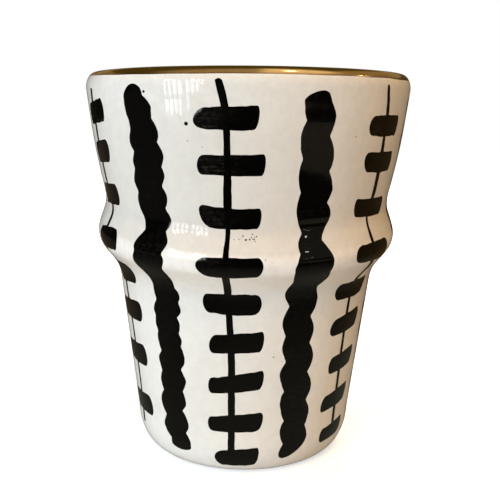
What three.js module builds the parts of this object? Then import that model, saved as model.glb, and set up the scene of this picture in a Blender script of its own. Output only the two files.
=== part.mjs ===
// A hand-painted pottery drinking cup: a tapered wall with a raised ring at mid height, a waist above it and
// a mouth that flares to a rounded, gilded lip. Twelve brushed stripes run down the wall, ladders and
// scalloped bands by turns. Millimetres, +Z up, origin on the table under the middle of the foot.
import * as THREE from "three";

// Heights of the wall's stretches, stacked from the table up.
const HEEL_HEIGHT = 9.8;
const LOWER_WALL_HEIGHT = 38.2;
const RING_UNDERSIDE_HEIGHT = 7.4;
const RING_TOP_HEIGHT = 8.6;
const THROAT_HEIGHT = 13.6;
const MOUTH_HEIGHT = 13.9;
const LIP_HEIGHT = 3.5;

// Outside radii where those stretches meet, before the corners are rounded.
const FOOT_RADIUS = 21.4;
const HEEL_RADIUS = 27.6;
const SHOULDER_RADIUS = 32.4;
const RING_RADIUS = 38.4;
const WAIST_RADIUS = 35.3;
const THROAT_RADIUS = 38.2;
const RIM_RADIUS = 40;

// Radii that round those corners.
const SHOULDER_ROUNDING = 9.3;
const RING_ROUNDING = 6.3;
const WAIST_ROUNDING = 5.9;
const THROAT_ROUNDING = 105;

// Clay thickness, and the underside with its ring to stand on.
const WALL_THICKNESS = 4.4;
const FLOOR_THICKNESS = 5.2;
const INSIDE_CORNER_ROUNDING = 9;
const FOOT_RING_WIDTH = 3.8;
const FOOT_RECESS_DEPTH = 1.2;
const FOOT_RECESS_SLOPE = 1.4;

// The gilding on the lip. Its edges are angles on the lip's curve, up from the outer and the inner wall.
const GOLD_THICKNESS = 0.5;
const GOLD_OUTER_EDGE = THREE.MathUtils.degToRad(31);
const GOLD_INNER_EDGE = THREE.MathUtils.degToRad(24);

// Paint laid on the wall. Distances up the wall run along its surface, and widths go round it.
const SEAT_GAP = 0.3;
const PAINT_THICKNESS = 0.3;
const STRIPE_PAIRS = 6;
const LADDER_TURN = THREE.MathUtils.degToRad(-5.5);

// Ladder stripes: a thin upright line with short bars, the rungs, across it. One ladder has a rung less.
const RUNG_COUNTS = [9, 9, 9, 9, 9, 8];
const LOWEST_RUNG_UP_WALL = 8;
const HIGHEST_RUNG_BELOW_LIP = 7.4;
const RUNG_LENGTH = 13.2;
const RUNG_HEIGHT = 4.7;
const RUNG_END_ROUNDING = 1.3;
const RUNG_TILT = 0.6;
const LINE_WIDTH = 1.7;
const LINE_BELOW_LIP = 0.8;

// Scalloped stripes: a broad upright band made of overlapping dabs.
const DAB_COUNT = 13;
const BAND_WIDTH = 6.2;
const DAB_BULGE = 1.1;
const BAND_UP_WALL = 7;
const BAND_BELOW_LIP = 1.8;

// How far the brush strays from a true line, as a share of the size that it strays from.
const RUNG_STRAY = 0.07;
const LINE_STRAY = 0.25;
const DAB_STRAY = 0.1;

// Fineness of the shapes.
const SIDES_ROUND_CUP = 48;
const STEPS_PER_LIP = 7;
const CORNER_STEP = THREE.MathUtils.degToRad(11);
const FINE_CORNER_STEP = THREE.MathUtils.degToRad(1);
const PAINT_STEP = 2.6;

const glaze = new THREE.MeshStandardMaterial({ color: 0xe8e4da, roughness: 0.12, metalness: 0 });
const gilding = new THREE.MeshStandardMaterial({ color: 0xb5803a, roughness: 0.2, metalness: 1 });
const blackPaint = new THREE.MeshStandardMaterial({ color: 0x0d0c0b, roughness: 0.15, metalness: 0 });

const LIP_FOOT = HEEL_HEIGHT + LOWER_WALL_HEIGHT + RING_UNDERSIDE_HEIGHT + RING_TOP_HEIGHT
  + THROAT_HEIGHT + MOUTH_HEIGHT;

// The straight stretches of the outer wall meet at these corners, as radius and height.
function wallCorners() {
  const corners = [];
  let height = HEEL_HEIGHT;
  const corner = (radius, rounding) => corners.push({ at: new THREE.Vector2(radius, height), rounding });
  corner(HEEL_RADIUS, 0);
  height += LOWER_WALL_HEIGHT;
  corner(SHOULDER_RADIUS, SHOULDER_ROUNDING);
  height += RING_UNDERSIDE_HEIGHT;
  corner(RING_RADIUS, RING_ROUNDING);
  height += RING_TOP_HEIGHT;
  corner(WAIST_RADIUS, WAIST_ROUNDING);
  height += THROAT_HEIGHT;
  corner(THROAT_RADIUS, THROAT_ROUNDING);
  height += MOUTH_HEIGHT;
  corner(RIM_RADIUS, 0);
  return corners;
}

// Points on an arc that touches both sides of a corner. Half of the shorter side is the most it takes.
function roundedCorner(before, corner, after, rounding, step) {
  const back = before.clone().sub(corner);
  const onward = after.clone().sub(corner);
  const halfAngle = back.angleTo(onward) / 2;
  const room = Math.min(back.length(), onward.length()) / 2;
  const reach = Math.min(rounding / Math.tan(halfAngle), room);
  const radius = reach * Math.tan(halfAngle);
  back.normalize();
  onward.normalize();
  const centre = back.clone().add(onward).setLength(radius / Math.sin(halfAngle)).add(corner);
  const start = corner.clone().addScaledVector(back, reach).sub(centre);
  const end = corner.clone().addScaledVector(onward, reach).sub(centre);
  const sweep = Math.atan2(start.cross(end), start.dot(end));
  const steps = Math.ceil(Math.abs(sweep) / step);
  return Array.from({ length: steps + 1 }, (_, i) =>
    start.clone().rotateAround(new THREE.Vector2(), (sweep * i) / steps).add(centre));
}

// An outline through the corners in turn, each one rounded by its own radius.
function roundedOutline(corners, step) {
  return corners.flatMap((corner, i) => {
    if (corner.rounding === 0 || i === 0 || i === corners.length - 1) return [corner.at];
    return roundedCorner(corners[i - 1].at, corner.at, corners[i + 1].at, corner.rounding, step);
  });
}

// The heel, a quarter ellipse from the edge of the foot up to the lower wall.
function heelOutline(step) {
  const steps = Math.ceil(Math.PI / 2 / step / 2);
  return Array.from({ length: steps }, (_, i) => {
    const angle = (Math.PI / 2) * (1 - i / steps);
    const radius = FOOT_RADIUS + (HEEL_RADIUS - FOOT_RADIUS) * Math.cos(angle);
    return new THREE.Vector2(radius, HEEL_HEIGHT * (1 - Math.sin(angle)));
  });
}

// A point on the lip, half an ellipse across the wall. The angle runs from the outer wall over the top.
function lipPoint(angle, inset) {
  const halfWall = WALL_THICKNESS / 2;
  const radius = RIM_RADIUS - halfWall + (halfWall - inset) * Math.cos(angle);
  return new THREE.Vector2(radius, LIP_FOOT + (LIP_HEIGHT - inset) * Math.sin(angle));
}

// The lip's curve between two angles, a set depth under its surface.
function lipOutline(from, to, inset, steps) {
  return Array.from({ length: steps + 1 }, (_, i) => lipPoint(from + ((to - from) * i) / steps, inset));
}

// The inner wall keeps the clay's thickness: each stretch of the outer wall is moved in along its normal,
// and neighbours meet again where the moved lines cross. What bulges outside is tighter inside.
function innerCorners(outer) {
  const lines = outer.slice(1).map((corner, i) => {
    const along = corner.at.clone().sub(outer[i].at).normalize();
    const inward = new THREE.Vector2(-along.y, along.x);
    return { from: outer[i].at.clone().addScaledVector(inward, WALL_THICKNESS), along };
  });
  const crossing = (one, other) => {
    const span = other.from.clone().sub(one.from);
    const distance = span.cross(other.along) / one.along.cross(other.along);
    return one.from.clone().addScaledVector(one.along, distance);
  };
  const atHeight = (line, height) =>
    line.from.clone().addScaledVector(line.along, (height - line.from.y) / line.along.y);

  const floorTop = FOOT_RECESS_DEPTH + FLOOR_THICKNESS;
  const middle = lines.slice(1).map((line, i) => {
    const bulges = lines[i].along.cross(line.along) > 0;
    const rounding = outer[i + 1].rounding + (bulges ? -WALL_THICKNESS : WALL_THICKNESS);
    return { at: crossing(lines[i], line), rounding: Math.max(rounding, WALL_THICKNESS / 4) };
  });
  return [
    { at: new THREE.Vector2(0, floorTop), rounding: 0 },
    { at: atHeight(lines[0], floorTop), rounding: INSIDE_CORNER_ROUNDING },
    ...middle,
    { at: new THREE.Vector2(RIM_RADIUS - WALL_THICKNESS, LIP_FOOT), rounding: 0 },
  ];
}

// The underside: a flat ring to stand on round a shallow recess.
function undersideOutline() {
  const ringInside = FOOT_RADIUS - FOOT_RING_WIDTH;
  return [
    new THREE.Vector2(0, FOOT_RECESS_DEPTH),
    new THREE.Vector2(ringInside - FOOT_RECESS_SLOPE, FOOT_RECESS_DEPTH),
    new THREE.Vector2(ringInside, 0),
  ];
}

// A profile of radii and heights turned about the cup's upright axis.
function turned(profile) {
  return new THREE.LatheGeometry(profile, SIDES_ROUND_CUP).rotateX(Math.PI / 2);
}

// The clay body, with its lip let down all round to take the gilding flush with the wall.
function cupBody() {
  const corners = wallCorners();
  const letDown = SEAT_GAP + GOLD_THICKNESS;
  const edgeGap = SEAT_GAP / (WALL_THICKNESS / 2);
  const outerEdge = GOLD_OUTER_EDGE - edgeGap;
  const innerEdge = Math.PI - GOLD_INNER_EDGE + edgeGap;
  const profile = [
    ...undersideOutline(),
    ...heelOutline(CORNER_STEP),
    ...roundedOutline(corners, CORNER_STEP).slice(0, -1),
    ...lipOutline(0, outerEdge, 0, 1),
    ...lipOutline(outerEdge, innerEdge, letDown, STEPS_PER_LIP),
    ...lipOutline(innerEdge, Math.PI, 0, 1).slice(0, -1),
    ...roundedOutline(innerCorners(corners), CORNER_STEP).reverse(),
  ];
  return turned(profile);
}

// The gilding, a thin cap over the lip.
function goldRim() {
  const start = GOLD_OUTER_EDGE;
  const end = Math.PI - GOLD_INNER_EDGE;
  const profile = [
    ...lipOutline(start, end, 0, STEPS_PER_LIP),
    ...lipOutline(end, start, GOLD_THICKNESS, STEPS_PER_LIP),
  ];
  return turned([...profile, profile[0]]);
}

// The painted wall as a fine chain of points, for finding a place by its distance up the surface.
const wall = (() => {
  const points = [
    ...heelOutline(FINE_CORNER_STEP),
    ...roundedOutline(wallCorners(), FINE_CORNER_STEP),
  ];
  const distances = [0];
  for (let i = 1; i < points.length; i++) {
    distances.push(distances[i - 1] + points[i].distanceTo(points[i - 1]));
  }
  return { points, distances, length: distances.at(-1) };
})();

// The outline's point and outward normal at a distance up the wall.
function wallAt(distance) {
  const { points, distances } = wall;
  let i = distances.findIndex((reached) => reached >= distance);
  i = Math.max(1, i < 0 ? points.length - 1 : i);
  const share = (distance - distances[i - 1]) / (distances[i] - distances[i - 1]);
  const along = points[i].clone().sub(points[i - 1]).normalize();
  return { at: points[i - 1].clone().lerp(points[i], share), normal: new THREE.Vector2(along.y, -along.x) };
}

// A place over the painted wall: so far up it, so far round it from a stripe's line, and lifted off it.
function onWall({ up, across }, turn, lift) {
  const { at, normal } = wallAt(up);
  const angle = turn + across / at.x;
  const radius = at.x + normal.x * lift;
  return new THREE.Vector3(radius * Math.sin(angle), -radius * Math.cos(angle), at.y + normal.y * lift);
}

// A film of paint over the filled cells of a grid. Each filled cell has a face under the paint and one
// over it, and where it has no filled neighbour, an edge between the two.
function paintFilm(rows, filled, turn) {
  const under = rows.map((row) => row.map((place) => onWall(place, turn, SEAT_GAP)));
  const over = rows.map((row) => row.map((place) => onWall(place, turn, SEAT_GAP + PAINT_THICKNESS)));
  const corners = [];
  const quad = (a, b, c, d) => corners.push(a, b, c, a, c, d);
  const cellsUp = rows.length - 1;
  const cellsAcross = rows[0].length - 1;
  const isFilled = (i, j) => i >= 0 && j >= 0 && i < cellsUp && j < cellsAcross && filled(i, j);
  for (let i = 0; i < cellsUp; i++) {
    for (let j = 0; j < cellsAcross; j++) {
      if (!isFilled(i, j)) continue;
      quad(over[i][j], over[i][j + 1], over[i + 1][j + 1], over[i + 1][j]);
      quad(under[i][j], under[i + 1][j], under[i + 1][j + 1], under[i][j + 1]);
      if (!isFilled(i - 1, j)) quad(under[i][j], under[i][j + 1], over[i][j + 1], over[i][j]);
      if (!isFilled(i + 1, j)) quad(under[i + 1][j + 1], under[i + 1][j], over[i + 1][j], over[i + 1][j + 1]);
      if (!isFilled(i, j - 1)) quad(under[i + 1][j], under[i][j], over[i][j], over[i + 1][j]);
      if (!isFilled(i, j + 1)) quad(under[i][j + 1], under[i + 1][j + 1], over[i + 1][j + 1], over[i][j + 1]);
    }
  }
  const geometry = new THREE.BufferGeometry().setFromPoints(corners);
  geometry.computeVertexNormals();
  return geometry;
}

// A repeatable stray of the painter's hand, between -1 and 1, for a stroke's number.
function stray(stroke) {
  return Math.sin(stroke * 2.39996 + Math.sin(stroke * 1.7));
}

// One ladder. Rows of four places run up the wall: the left and right ends of a rung, and between them
// the two edges of the upright line. Where there is no rung, only the line is filled.
function ladderStripe(number, turn) {
  const lowest = LOWEST_RUNG_UP_WALL;
  const rungCount = RUNG_COUNTS[number % RUNG_COUNTS.length];
  const pitch = (wall.length - HIGHEST_RUNG_BELOW_LIP - lowest) / (rungCount - 1);
  const rows = [];
  const rungRows = [];
  const lineWidthAt = (up) => LINE_WIDTH * (1 + LINE_STRAY * stray(number + up / pitch));
  const addRow = (up, left, right, tilt, isRung) => {
    const half = lineWidthAt(up) / 2;
    rows.push([
      { up: up - tilt, across: left },
      { up, across: -half },
      { up, across: half },
      { up: up + tilt, across: right },
    ]);
    rungRows.push(isRung);
  };
  const addLine = (from, to) => {
    const steps = Math.ceil((to - from) / PAINT_STEP);
    for (let i = 1; i < steps; i++) {
      const up = from + ((to - from) * i) / steps;
      addRow(up, -LINE_WIDTH, LINE_WIDTH, 0, false);
    }
  };
  const addRung = (middle, seed) => {
    const half = RUNG_HEIGHT / 2;
    const left = -(RUNG_LENGTH / 2) * (1 + RUNG_STRAY * stray(seed));
    const right = (RUNG_LENGTH / 2) * (1 + RUNG_STRAY * stray(seed + 0.5));
    const tilt = RUNG_TILT * (0.5 + 0.5 * stray(seed + 0.25));
    const shoulder = half - RUNG_END_ROUNDING;
    addRow(middle - half, left + RUNG_END_ROUNDING, right - RUNG_END_ROUNDING, tilt, true);
    addRow(middle - shoulder, left, right, tilt, true);
    addRow(middle + shoulder, left, right, tilt, true);
    addRow(middle + half, left + RUNG_END_ROUNDING, right - RUNG_END_ROUNDING, tilt, false);
  };

  let reached = lowest - RUNG_HEIGHT / 2;
  for (let rung = 0; rung < rungCount; rung++) {
    const seed = number * rungCount + rung;
    const middle = lowest + pitch * rung + (rung > 0 ? pitch * RUNG_STRAY * stray(seed + 0.75) : 0);
    if (rung > 0) addLine(reached, middle - RUNG_HEIGHT / 2);
    addRung(middle, seed);
    reached = middle + RUNG_HEIGHT / 2;
  }
  const top = wall.length - LINE_BELOW_LIP;
  addLine(reached, top);
  addRow(top, -LINE_WIDTH, LINE_WIDTH, 0, false);
  return paintFilm(rows, (i, j) => j === 1 || rungRows[i], turn);
}

// One scalloped band. Each dab has a notch below it and two rows at its bulge, and the notches on the
// right side lie a third of a dab lower than those on the left.
function scallopedStripe(number, turn) {
  const rowsPerDab = 3;
  const bottom = BAND_UP_WALL;
  const length = wall.length - BAND_BELOW_LIP - bottom;
  const rowCount = DAB_COUNT * rowsPerDab;
  const bulge = (phase, seed) => {
    const size = 1 + DAB_STRAY * stray(Math.floor(phase) + seed);
    return (BAND_WIDTH / 2) * size + DAB_BULGE * Math.abs(Math.sin(Math.PI * phase));
  };
  const rows = Array.from({ length: rowCount + 1 }, (_, i) => {
    const up = bottom + (length * i) / rowCount;
    const isEnd = i === 0 || i === rowCount;
    const narrowed = isEnd ? 0.6 : 1;
    const left = -narrowed * bulge(i / rowsPerDab, number * DAB_COUNT);
    const right = narrowed * bulge((i + 1) / rowsPerDab, (number + STRIPE_PAIRS) * DAB_COUNT);
    const wander = DAB_STRAY * BAND_WIDTH * stray(number + (2 * i) / rowCount) / 2;
    return [left, (left + right) / 2, right].map((across) => ({ up, across: across + wander }));
  });
  return paintFilm(rows, () => true, turn);
}

function named(name, geometry, material) {
  const mesh = new THREE.Mesh(geometry, material);
  mesh.name = name;
  return mesh;
}

const group = new THREE.Group();
group.add(named("cup_body", cupBody(), glaze));
group.add(named("gold_rim", goldRim(), gilding));
for (let pair = 0; pair < STRIPE_PAIRS; pair++) {
  const turn = LADDER_TURN + (pair * 2 * Math.PI) / STRIPE_PAIRS;
  const betweenLadders = turn + Math.PI / STRIPE_PAIRS;
  group.add(named(`ladder_stripe_${pair + 1}`, ladderStripe(pair, turn), blackPaint));
  group.add(named(`scalloped_stripe_${pair + 1}`, scallopedStripe(pair, betweenLadders), blackPaint));
}

export default group;
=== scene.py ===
"""Dresses a hand-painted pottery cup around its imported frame.

The cup is a tapered pot with a raised ring, a waist and a flared mouth, under an off-white glaze. Six
brushed ladders and six scalloped bands run down its wall by turns, and its lip is gilded. Every piece is
worked out on the same wall: a place is a distance up the wall's surface, an angle round the cup from its
front, and a height over the glaze. The front faces -Y, and angles grow to the right as seen from there.
"""

import bpy
import numpy as np
from bpy.props import FloatProperty, FloatVectorProperty, IntProperty, PointerProperty
from bpy.types import Operator, Panel, PropertyGroup
from mathutils import Euler, Matrix, Vector


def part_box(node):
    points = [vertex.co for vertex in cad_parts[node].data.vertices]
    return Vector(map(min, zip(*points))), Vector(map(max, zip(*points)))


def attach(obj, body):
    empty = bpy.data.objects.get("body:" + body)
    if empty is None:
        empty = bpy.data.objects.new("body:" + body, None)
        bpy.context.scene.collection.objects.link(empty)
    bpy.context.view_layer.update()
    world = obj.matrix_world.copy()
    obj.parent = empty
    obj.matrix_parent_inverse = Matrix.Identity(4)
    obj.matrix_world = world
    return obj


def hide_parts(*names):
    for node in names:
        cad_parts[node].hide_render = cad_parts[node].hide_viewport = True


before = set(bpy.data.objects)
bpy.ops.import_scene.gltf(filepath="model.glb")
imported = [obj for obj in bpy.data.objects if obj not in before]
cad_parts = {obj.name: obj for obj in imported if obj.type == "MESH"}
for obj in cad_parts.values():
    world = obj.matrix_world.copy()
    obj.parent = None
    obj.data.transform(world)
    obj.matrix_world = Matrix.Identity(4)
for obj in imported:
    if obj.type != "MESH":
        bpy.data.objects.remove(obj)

bl_info = {
    "name": "Painted Pottery Cup",
    "version": (1, 0, 0),
    "blender": (4, 5, 0),
    "location": "View3D > Sidebar > Cup",
    "description": "Builds a glazed, hand-painted and gilded pottery cup, and the studio it stands in",
    "category": "Object",
}

BODY = "root"
MM = 0.001
CM = 0.01
TAU = 2 * np.pi
WHITE = (1.0, 1.0, 1.0)
CLAY_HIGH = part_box("cup_body")[1]
LIP_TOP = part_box("gold_rim")[1].z

# How finely the pot is drawn: the steps along its outline and round its arcs, its rings and its sides.
SPACING = 0.1 * MM
ARC_STEP = np.radians(1.5)
STATIONS = 250
SIDES = 384
# How finely the strokes and the gold are drawn: their rows lengthways, and their points from edge to edge.
RUNG_ROWS = 44
DROP_ROWS = 14
LINE_ROWS = 230
BAND_ROWS = 300
STROKE_ACROSS = 13
GOLD_SIDES = 432
GOLD_ACROSS = 25
# How the rings share themselves out: so many parts to a metre of outline, and so many to a radian of turn.
RINGS_PER_RUN = 0.76 / MM
RINGS_PER_TURN = 4.4
# How far the gold reaches under the glaze, how much of its height a film loses at its edges, and after how
# many heights a wavy line repeats.
GOLD_SUNK = 0.1 * MM
EDGE_LOSS = 0.85
NOISE_KNOTS = 512
# How long the finer waves of a brush edge are, and how high, beside the longer ones.
FINER_WAVE = 0.36
FINER_HEIGHT = 0.35

# How wide the dip of the ring is under its middle and over it.
DIP_BELOW = 14 * MM
DIP_ABOVE = 10 * MM
# Between which shares of its height the pot goes out of round, and its mouth out of level. The radius from
# which it is fully out of round, and the angle in radians where the oval is widest.
UNROUND = (0.02, 0.9)
UNLEVEL = (0.75, 0.98)
UNROUND_RADIUS = 12 * MM
WIDEST_TURN = 0.9
# The radius of a bend that counts as a full hollow or crest, for the painted shade in the glaze's hollows
# and its painted highlight on crests. The lengths of an edge's fall from a dab to a notch, in mm, from
# which it begins to be soft and is wholly so.
FULL_HOLLOW = 5 * MM
SOFT_FALL = (4.4, 5.6)
# Heights between which the glaze changes: where the painted highlight on the ring's crest fades out, and
# where it is lighter under the ring and at the heel, as painted light from the floor, and at the lip.
# Then where the gold is rubbed away left and right. All in metres.
OVER_RING = (0.082, 0.070)
UNDER_RING = (0.058, 0.034)
AT_HEEL = (0.018, 0.004)
AT_LIP = (0.079, 0.091)
RUBBED_LEFT = (-0.0325, -0.0385)
RUBBED_RIGHT = (0.0375, 0.0400)

# A ladder's rungs from the top down. Each has its left and right end in degrees, the heights of its upper
# left, upper right, lower left and lower right corner in mm, how far its upper edge bows up and its lower
# edge sags at the middle, and the rounding of its upper left, upper right, lower right and lower left
# corner, in mm.
FRONT_RUNGS = np.array([
    (-16.5, 3.9, 86.3, 86.8, 82.2, 82.0, 0.0, 0.40, 3.2, 0.5, 1.2, 1.9),
    (-15.9, 6.3, 76.5, 76.9, 72.5, 72.4, 0.0, 0.20, 1.4, 0.5, 0.9, 1.0),
    (-16.0, 5.6, 66.1, 65.5, 61.3, 61.1, -0.45, 0.45, 1.0, 0.6, 1.0, 2.9),
    (-16.4, 6.3, 54.8, 55.0, 50.8, 50.8, 0.0, 0.65, 2.2, 1.3, 1.5, 2.8),
    (-16.7, 7.2, 45.8, 45.9, 41.5, 41.3, 0.1, 0.45, 1.2, 1.6, 1.7, 1.4),
    (-14.7, 8.8, 35.9, 37.1, 31.6, 32.3, 0.0, 0.25, 1.8, 0.6, 1.1, 1.0),
    (-15.7, 9.4, 25.2, 27.6, 21.4, 22.8, 0.05, 0.05, 0.9, 0.5, 1.2, 0.9),
    (-16.5, 9.9, 15.5, 17.0, 12.0, 12.3, 0.05, 0.30, 0.9, 0.6, 1.6, 0.9),
    (-13.8, 8.6, 6.8, 7.9, 2.8, 3.1, 0.0, 0.50, 2.0, 0.5, 1.1, 2.0),
])
RIGHT_RUNGS = np.array([
    (43.1, 62.3, 85.0, 85.3, 80.9, 80.9, 0.10, 0.30, 2.0, 0.8, 1.3, 1.5),
    (43.4, 62.8, 77.2, 77.3, 73.1, 73.0, 0.00, 0.50, 1.3, 0.9, 0.9, 2.0),
    (42.5, 64.2, 67.0, 67.0, 62.7, 62.7, -0.35, 0.35, 0.8, 1.6, 2.4, 1.1),
    (42.0, 65.2, 56.2, 57.3, 52.4, 52.2, 0.05, 0.30, 1.8, 3.2, 1.0, 1.8),
    (40.8, 63.8, 46.7, 47.5, 42.8, 43.4, -0.10, 0.30, 1.8, 0.7, 2.4, 1.6),
    (41.0, 62.9, 37.8, 39.8, 33.9, 35.1, 0.05, 0.30, 2.2, 0.8, 1.3, 1.4),
    (43.4, 64.2, 28.1, 29.8, 24.0, 25.1, 0.00, 0.20, 1.2, 0.8, 1.2, 1.0),
    (41.6, 64.0, 18.1, 20.1, 14.2, 15.5, 0.10, 0.25, 1.6, 0.8, 1.4, 0.8),
    (43.5, 64.3, 9.4, 10.9, 5.8, 6.7, 0.00, 0.25, 1.2, 0.7, 2.0, 1.2),
])
LEFT_RUNGS = np.array([
    (-71.5, -55.6, 87.3, 88.6, 82.4, 83.2, 0.0, 0.05, 0.8, 1.4, 0.9, 0.8),
    (-71.0, -55.9, 78.1, 79.2, 73.4, 73.9, 0.0, 0.10, 0.8, 1.6, 1.6, 0.8),
    (-71.5, -54.7, 68.5, 68.7, 63.7, 63.8, 0.0, 0.10, 0.8, 1.5, 0.9, 0.8),
    (-70.3, -52.4, 58.3, 58.5, 53.5, 53.5, 0.1, 0.20, 1.8, 2.0, 1.6, 3.2),
    (-72.0, -52.2, 50.0, 50.1, 44.5, 45.1, 0.0, 0.10, 0.6, 1.9, 1.6, 1.8),
    (-74.0, -51.5, 40.1, 40.6, 35.5, 35.6, 0.0, 0.15, 0.6, 1.5, 1.5, 1.6),
    (-76.0, -51.7, 29.1, 29.6, 24.2, 24.1, 0.0, 0.15, 0.5, 2.0, 1.3, 1.6),
    (-76.0, -51.8, 15.9, 16.4, 11.0, 11.0, 0.0, 0.10, 0.5, 1.9, 1.2, 1.6),
])
# The upright line of each of those ladders from the top down: height in mm, angle in degrees and width in
# mm. After them, how far along a line each knot is felt, and the roundings of its corners, in mm.
FRONT_LINE = np.array([
    (92.15, -8.7, 1.55), (90.0, -7.6, 1.70), (88.0, -6.9, 1.72), (86.0, -6.5, 1.60), (80.0, -5.9, 1.40),
    (76.0, -5.9, 1.45), (71.0, -5.9, 1.72), (66.0, -6.0, 1.82), (61.5, -5.8, 1.10), (58.0, -5.9, 1.10),
    (55.0, -6.2, 1.40), (49.0, -6.4, 1.72), (46.0, -6.3, 1.72), (40.0, -5.8, 1.48), (36.0, -5.4, 1.55),
    (30.0, -4.9, 1.66), (20.0, -5.0, 1.66), (10.0, -5.1, 1.62), (5.0, -5.2, 1.80),
])
RIGHT_LINE = np.array([
    (91.8, 50.2, 0.95), (90.0, 51.0, 1.15), (88.0, 51.8, 1.35), (86.0, 52.4, 1.35), (80.0, 52.8, 1.22),
    (77.0, 53.1, 1.45), (72.0, 53.7, 1.65), (67.5, 53.6, 1.60), (65.0, 52.2, 1.05), (62.0, 50.8, 0.75),
    (60.0, 51.0, 0.88), (57.0, 51.6, 1.25), (53.0, 53.4, 1.60), (51.2, 56.2, 2.10), (49.9, 57.7, 2.25),
    (48.5, 55.4, 2.05), (47.0, 52.6, 1.50), (42.0, 51.4, 1.12), (33.0, 51.5, 1.08), (28.0, 51.9, 1.16),
    (20.0, 52.7, 1.15), (14.0, 53.6, 1.25), (8.0, 54.4, 1.25),
])
LEFT_LINE = np.array([
    (90.9, -64.8, 1.60), (89.0, -65.5, 1.55), (81.0, -65.5, 1.48), (72.0, -65.5, 1.42), (69.0, -65.2, 1.40),
    (64.5, -63.4, 1.30), (62.7, -61.9, 1.25), (61.4, -61.3, 1.22), (59.8, -62.2, 1.30), (57.0, -63.3, 1.40),
    (52.0, -64.4, 1.40), (44.0, -65.1, 1.32), (41.0, -64.8, 1.25), (35.0, -63.7, 1.10), (30.0, -63.4, 1.08),
    (18.0, -63.5, 1.05), (11.0, -65.2, 1.20), (7.6, -65.1, 1.45),
])
FLOW = 0.8
LINE_CORNERS = (0.6, 0.8, 0.8, 0.6)
# The dabs down each edge of a band: height in mm and angle in degrees where one stands out most, and of the
# notch under it. The first row is only the notch over the first dab. Then the band's top and bottom, and
# the rounding of its upper right, lower right, lower left and upper left corner, all in mm.
RIGHT_BAND = {
    "left": np.array([
        (90.4, 18.6, 89.9, 18.6), (87.9, 17.4, 83.9, 18.5), (80.1, 16.9, 75.9, 18.4),
        (72.3, 17.3, 68.9, 18.7), (65.0, 17.7, 59.9, 19.8), (57.3, 18.4, 55.6, 18.9),
        (52.2, 17.3, 48.8, 18.3), (46.0, 16.4, 42.8, 18.8), (39.0, 16.3, 35.8, 18.2),
        (33.0, 16.8, 29.4, 19.1), (26.3, 16.7, 22.0, 19.3), (19.0, 17.6, 14.4, 20.2),
        (11.5, 18.7, 8.2, 20.6), (5.8, 19.0, 3.5, 20.0),
    ]),
    "right": np.array([
        (90.4, 24.5, 89.8, 25.4), (84.6, 28.5, 80.8, 27.1), (76.2, 29.5, 73.4, 28.4),
        (69.5, 30.6, 66.5, 29.2), (63.8, 31.3, 58.3, 27.5), (53.6, 31.8, 51.2, 31.6),
        (49.6, 32.4, 47.2, 29.4), (44.0, 31.5, 40.0, 28.8), (36.4, 31.4, 33.5, 29.9),
        (29.9, 32.8, 26.2, 30.3), (22.8, 33.5, 19.0, 31.4), (15.7, 33.8, 12.3, 32.4),
        (9.7, 34.1, 3.5, 31.0),
    ]),
    "span": (90.0, 4.2),
    "corners": (0.8, 4.8, 1.0, 2.2),
}
LEFT_BAND = {
    "left": np.array([
        (91.6, -42.0, 91.2, -42.1), (87.3, -42.5, 81.5, -40.8), (79.0, -41.8, 76.8, -40.3),
        (74.0, -41.6, 73.0, -41.2), (70.1, -42.4, 67.9, -41.0), (65.9, -42.0, 59.3, -38.1),
        (55.6, -41.9, 54.4, -41.7), (52.1, -43.4, 46.6, -40.5), (45.0, -40.6, 42.6, -39.7),
        (40.2, -42.0, 38.8, -41.1), (37.0, -41.7, 35.0, -40.6), (33.4, -41.3, 30.0, -39.8),
        (27.9, -41.9, 24.9, -40.5), (22.5, -42.1, 19.9, -40.9), (17.1, -43.3, 13.6, -40.7),
        (10.7, -42.8, 7.8, -38.5), (6.6, -38.7, 4.5, -38.0),
    ]),
    "right": np.array([
        (91.6, -34.4, 91.2, -34.4), (90.2, -34.2, 88.8, -34.0), (86.4, -31.1, 84.0, -31.2),
        (80.9, -28.9, 79.0, -29.8), (76.0, -27.8, 73.7, -29.1), (71.6, -28.2, 69.4, -29.6),
        (66.8, -27.9, 64.5, -29.2), (61.8, -26.9, 59.6, -28.9), (57.2, -27.4, 54.8, -29.2),
        (53.2, -28.5, 51.1, -30.2), (48.0, -28.8, 46.3, -28.9), (44.2, -26.9, 42.7, -28.1),
        (40.9, -27.1, 39.0, -29.2), (36.9, -27.9, 35.2, -28.9), (33.2, -27.5, 32.0, -28.5),
        (29.2, -26.6, 26.2, -29.2), (23.3, -26.8, 20.8, -29.1), (18.0, -27.5, 15.7, -30.0),
        (12.1, -26.9, 9.9, -28.9), (7.4, -26.2, 4.5, -26.6),
    ]),
    "span": (91.3, 5.1),
    "corners": (2.0, 1.3, 1.2, 3.0),
}
# Each ladder and band: whose strokes the painter repeated there, and how many degrees further round.
LADDERS = (
    (FRONT_RUNGS, FRONT_LINE, 0.0),
    (RIGHT_RUNGS, RIGHT_LINE, 0.0),
    (FRONT_RUNGS, FRONT_LINE, 120.0),
    (RIGHT_RUNGS, RIGHT_LINE, 120.5),
    (FRONT_RUNGS, FRONT_LINE, -119.5),
    (LEFT_RUNGS, LEFT_LINE, 0.0),
)
BANDS = (
    (RIGHT_BAND, 0.0),
    (RIGHT_BAND, 54.8),
    (LEFT_BAND, 179.3),
    (RIGHT_BAND, 180.0),
    (LEFT_BAND, -60.7),
    (LEFT_BAND, 0.0),
)
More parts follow.
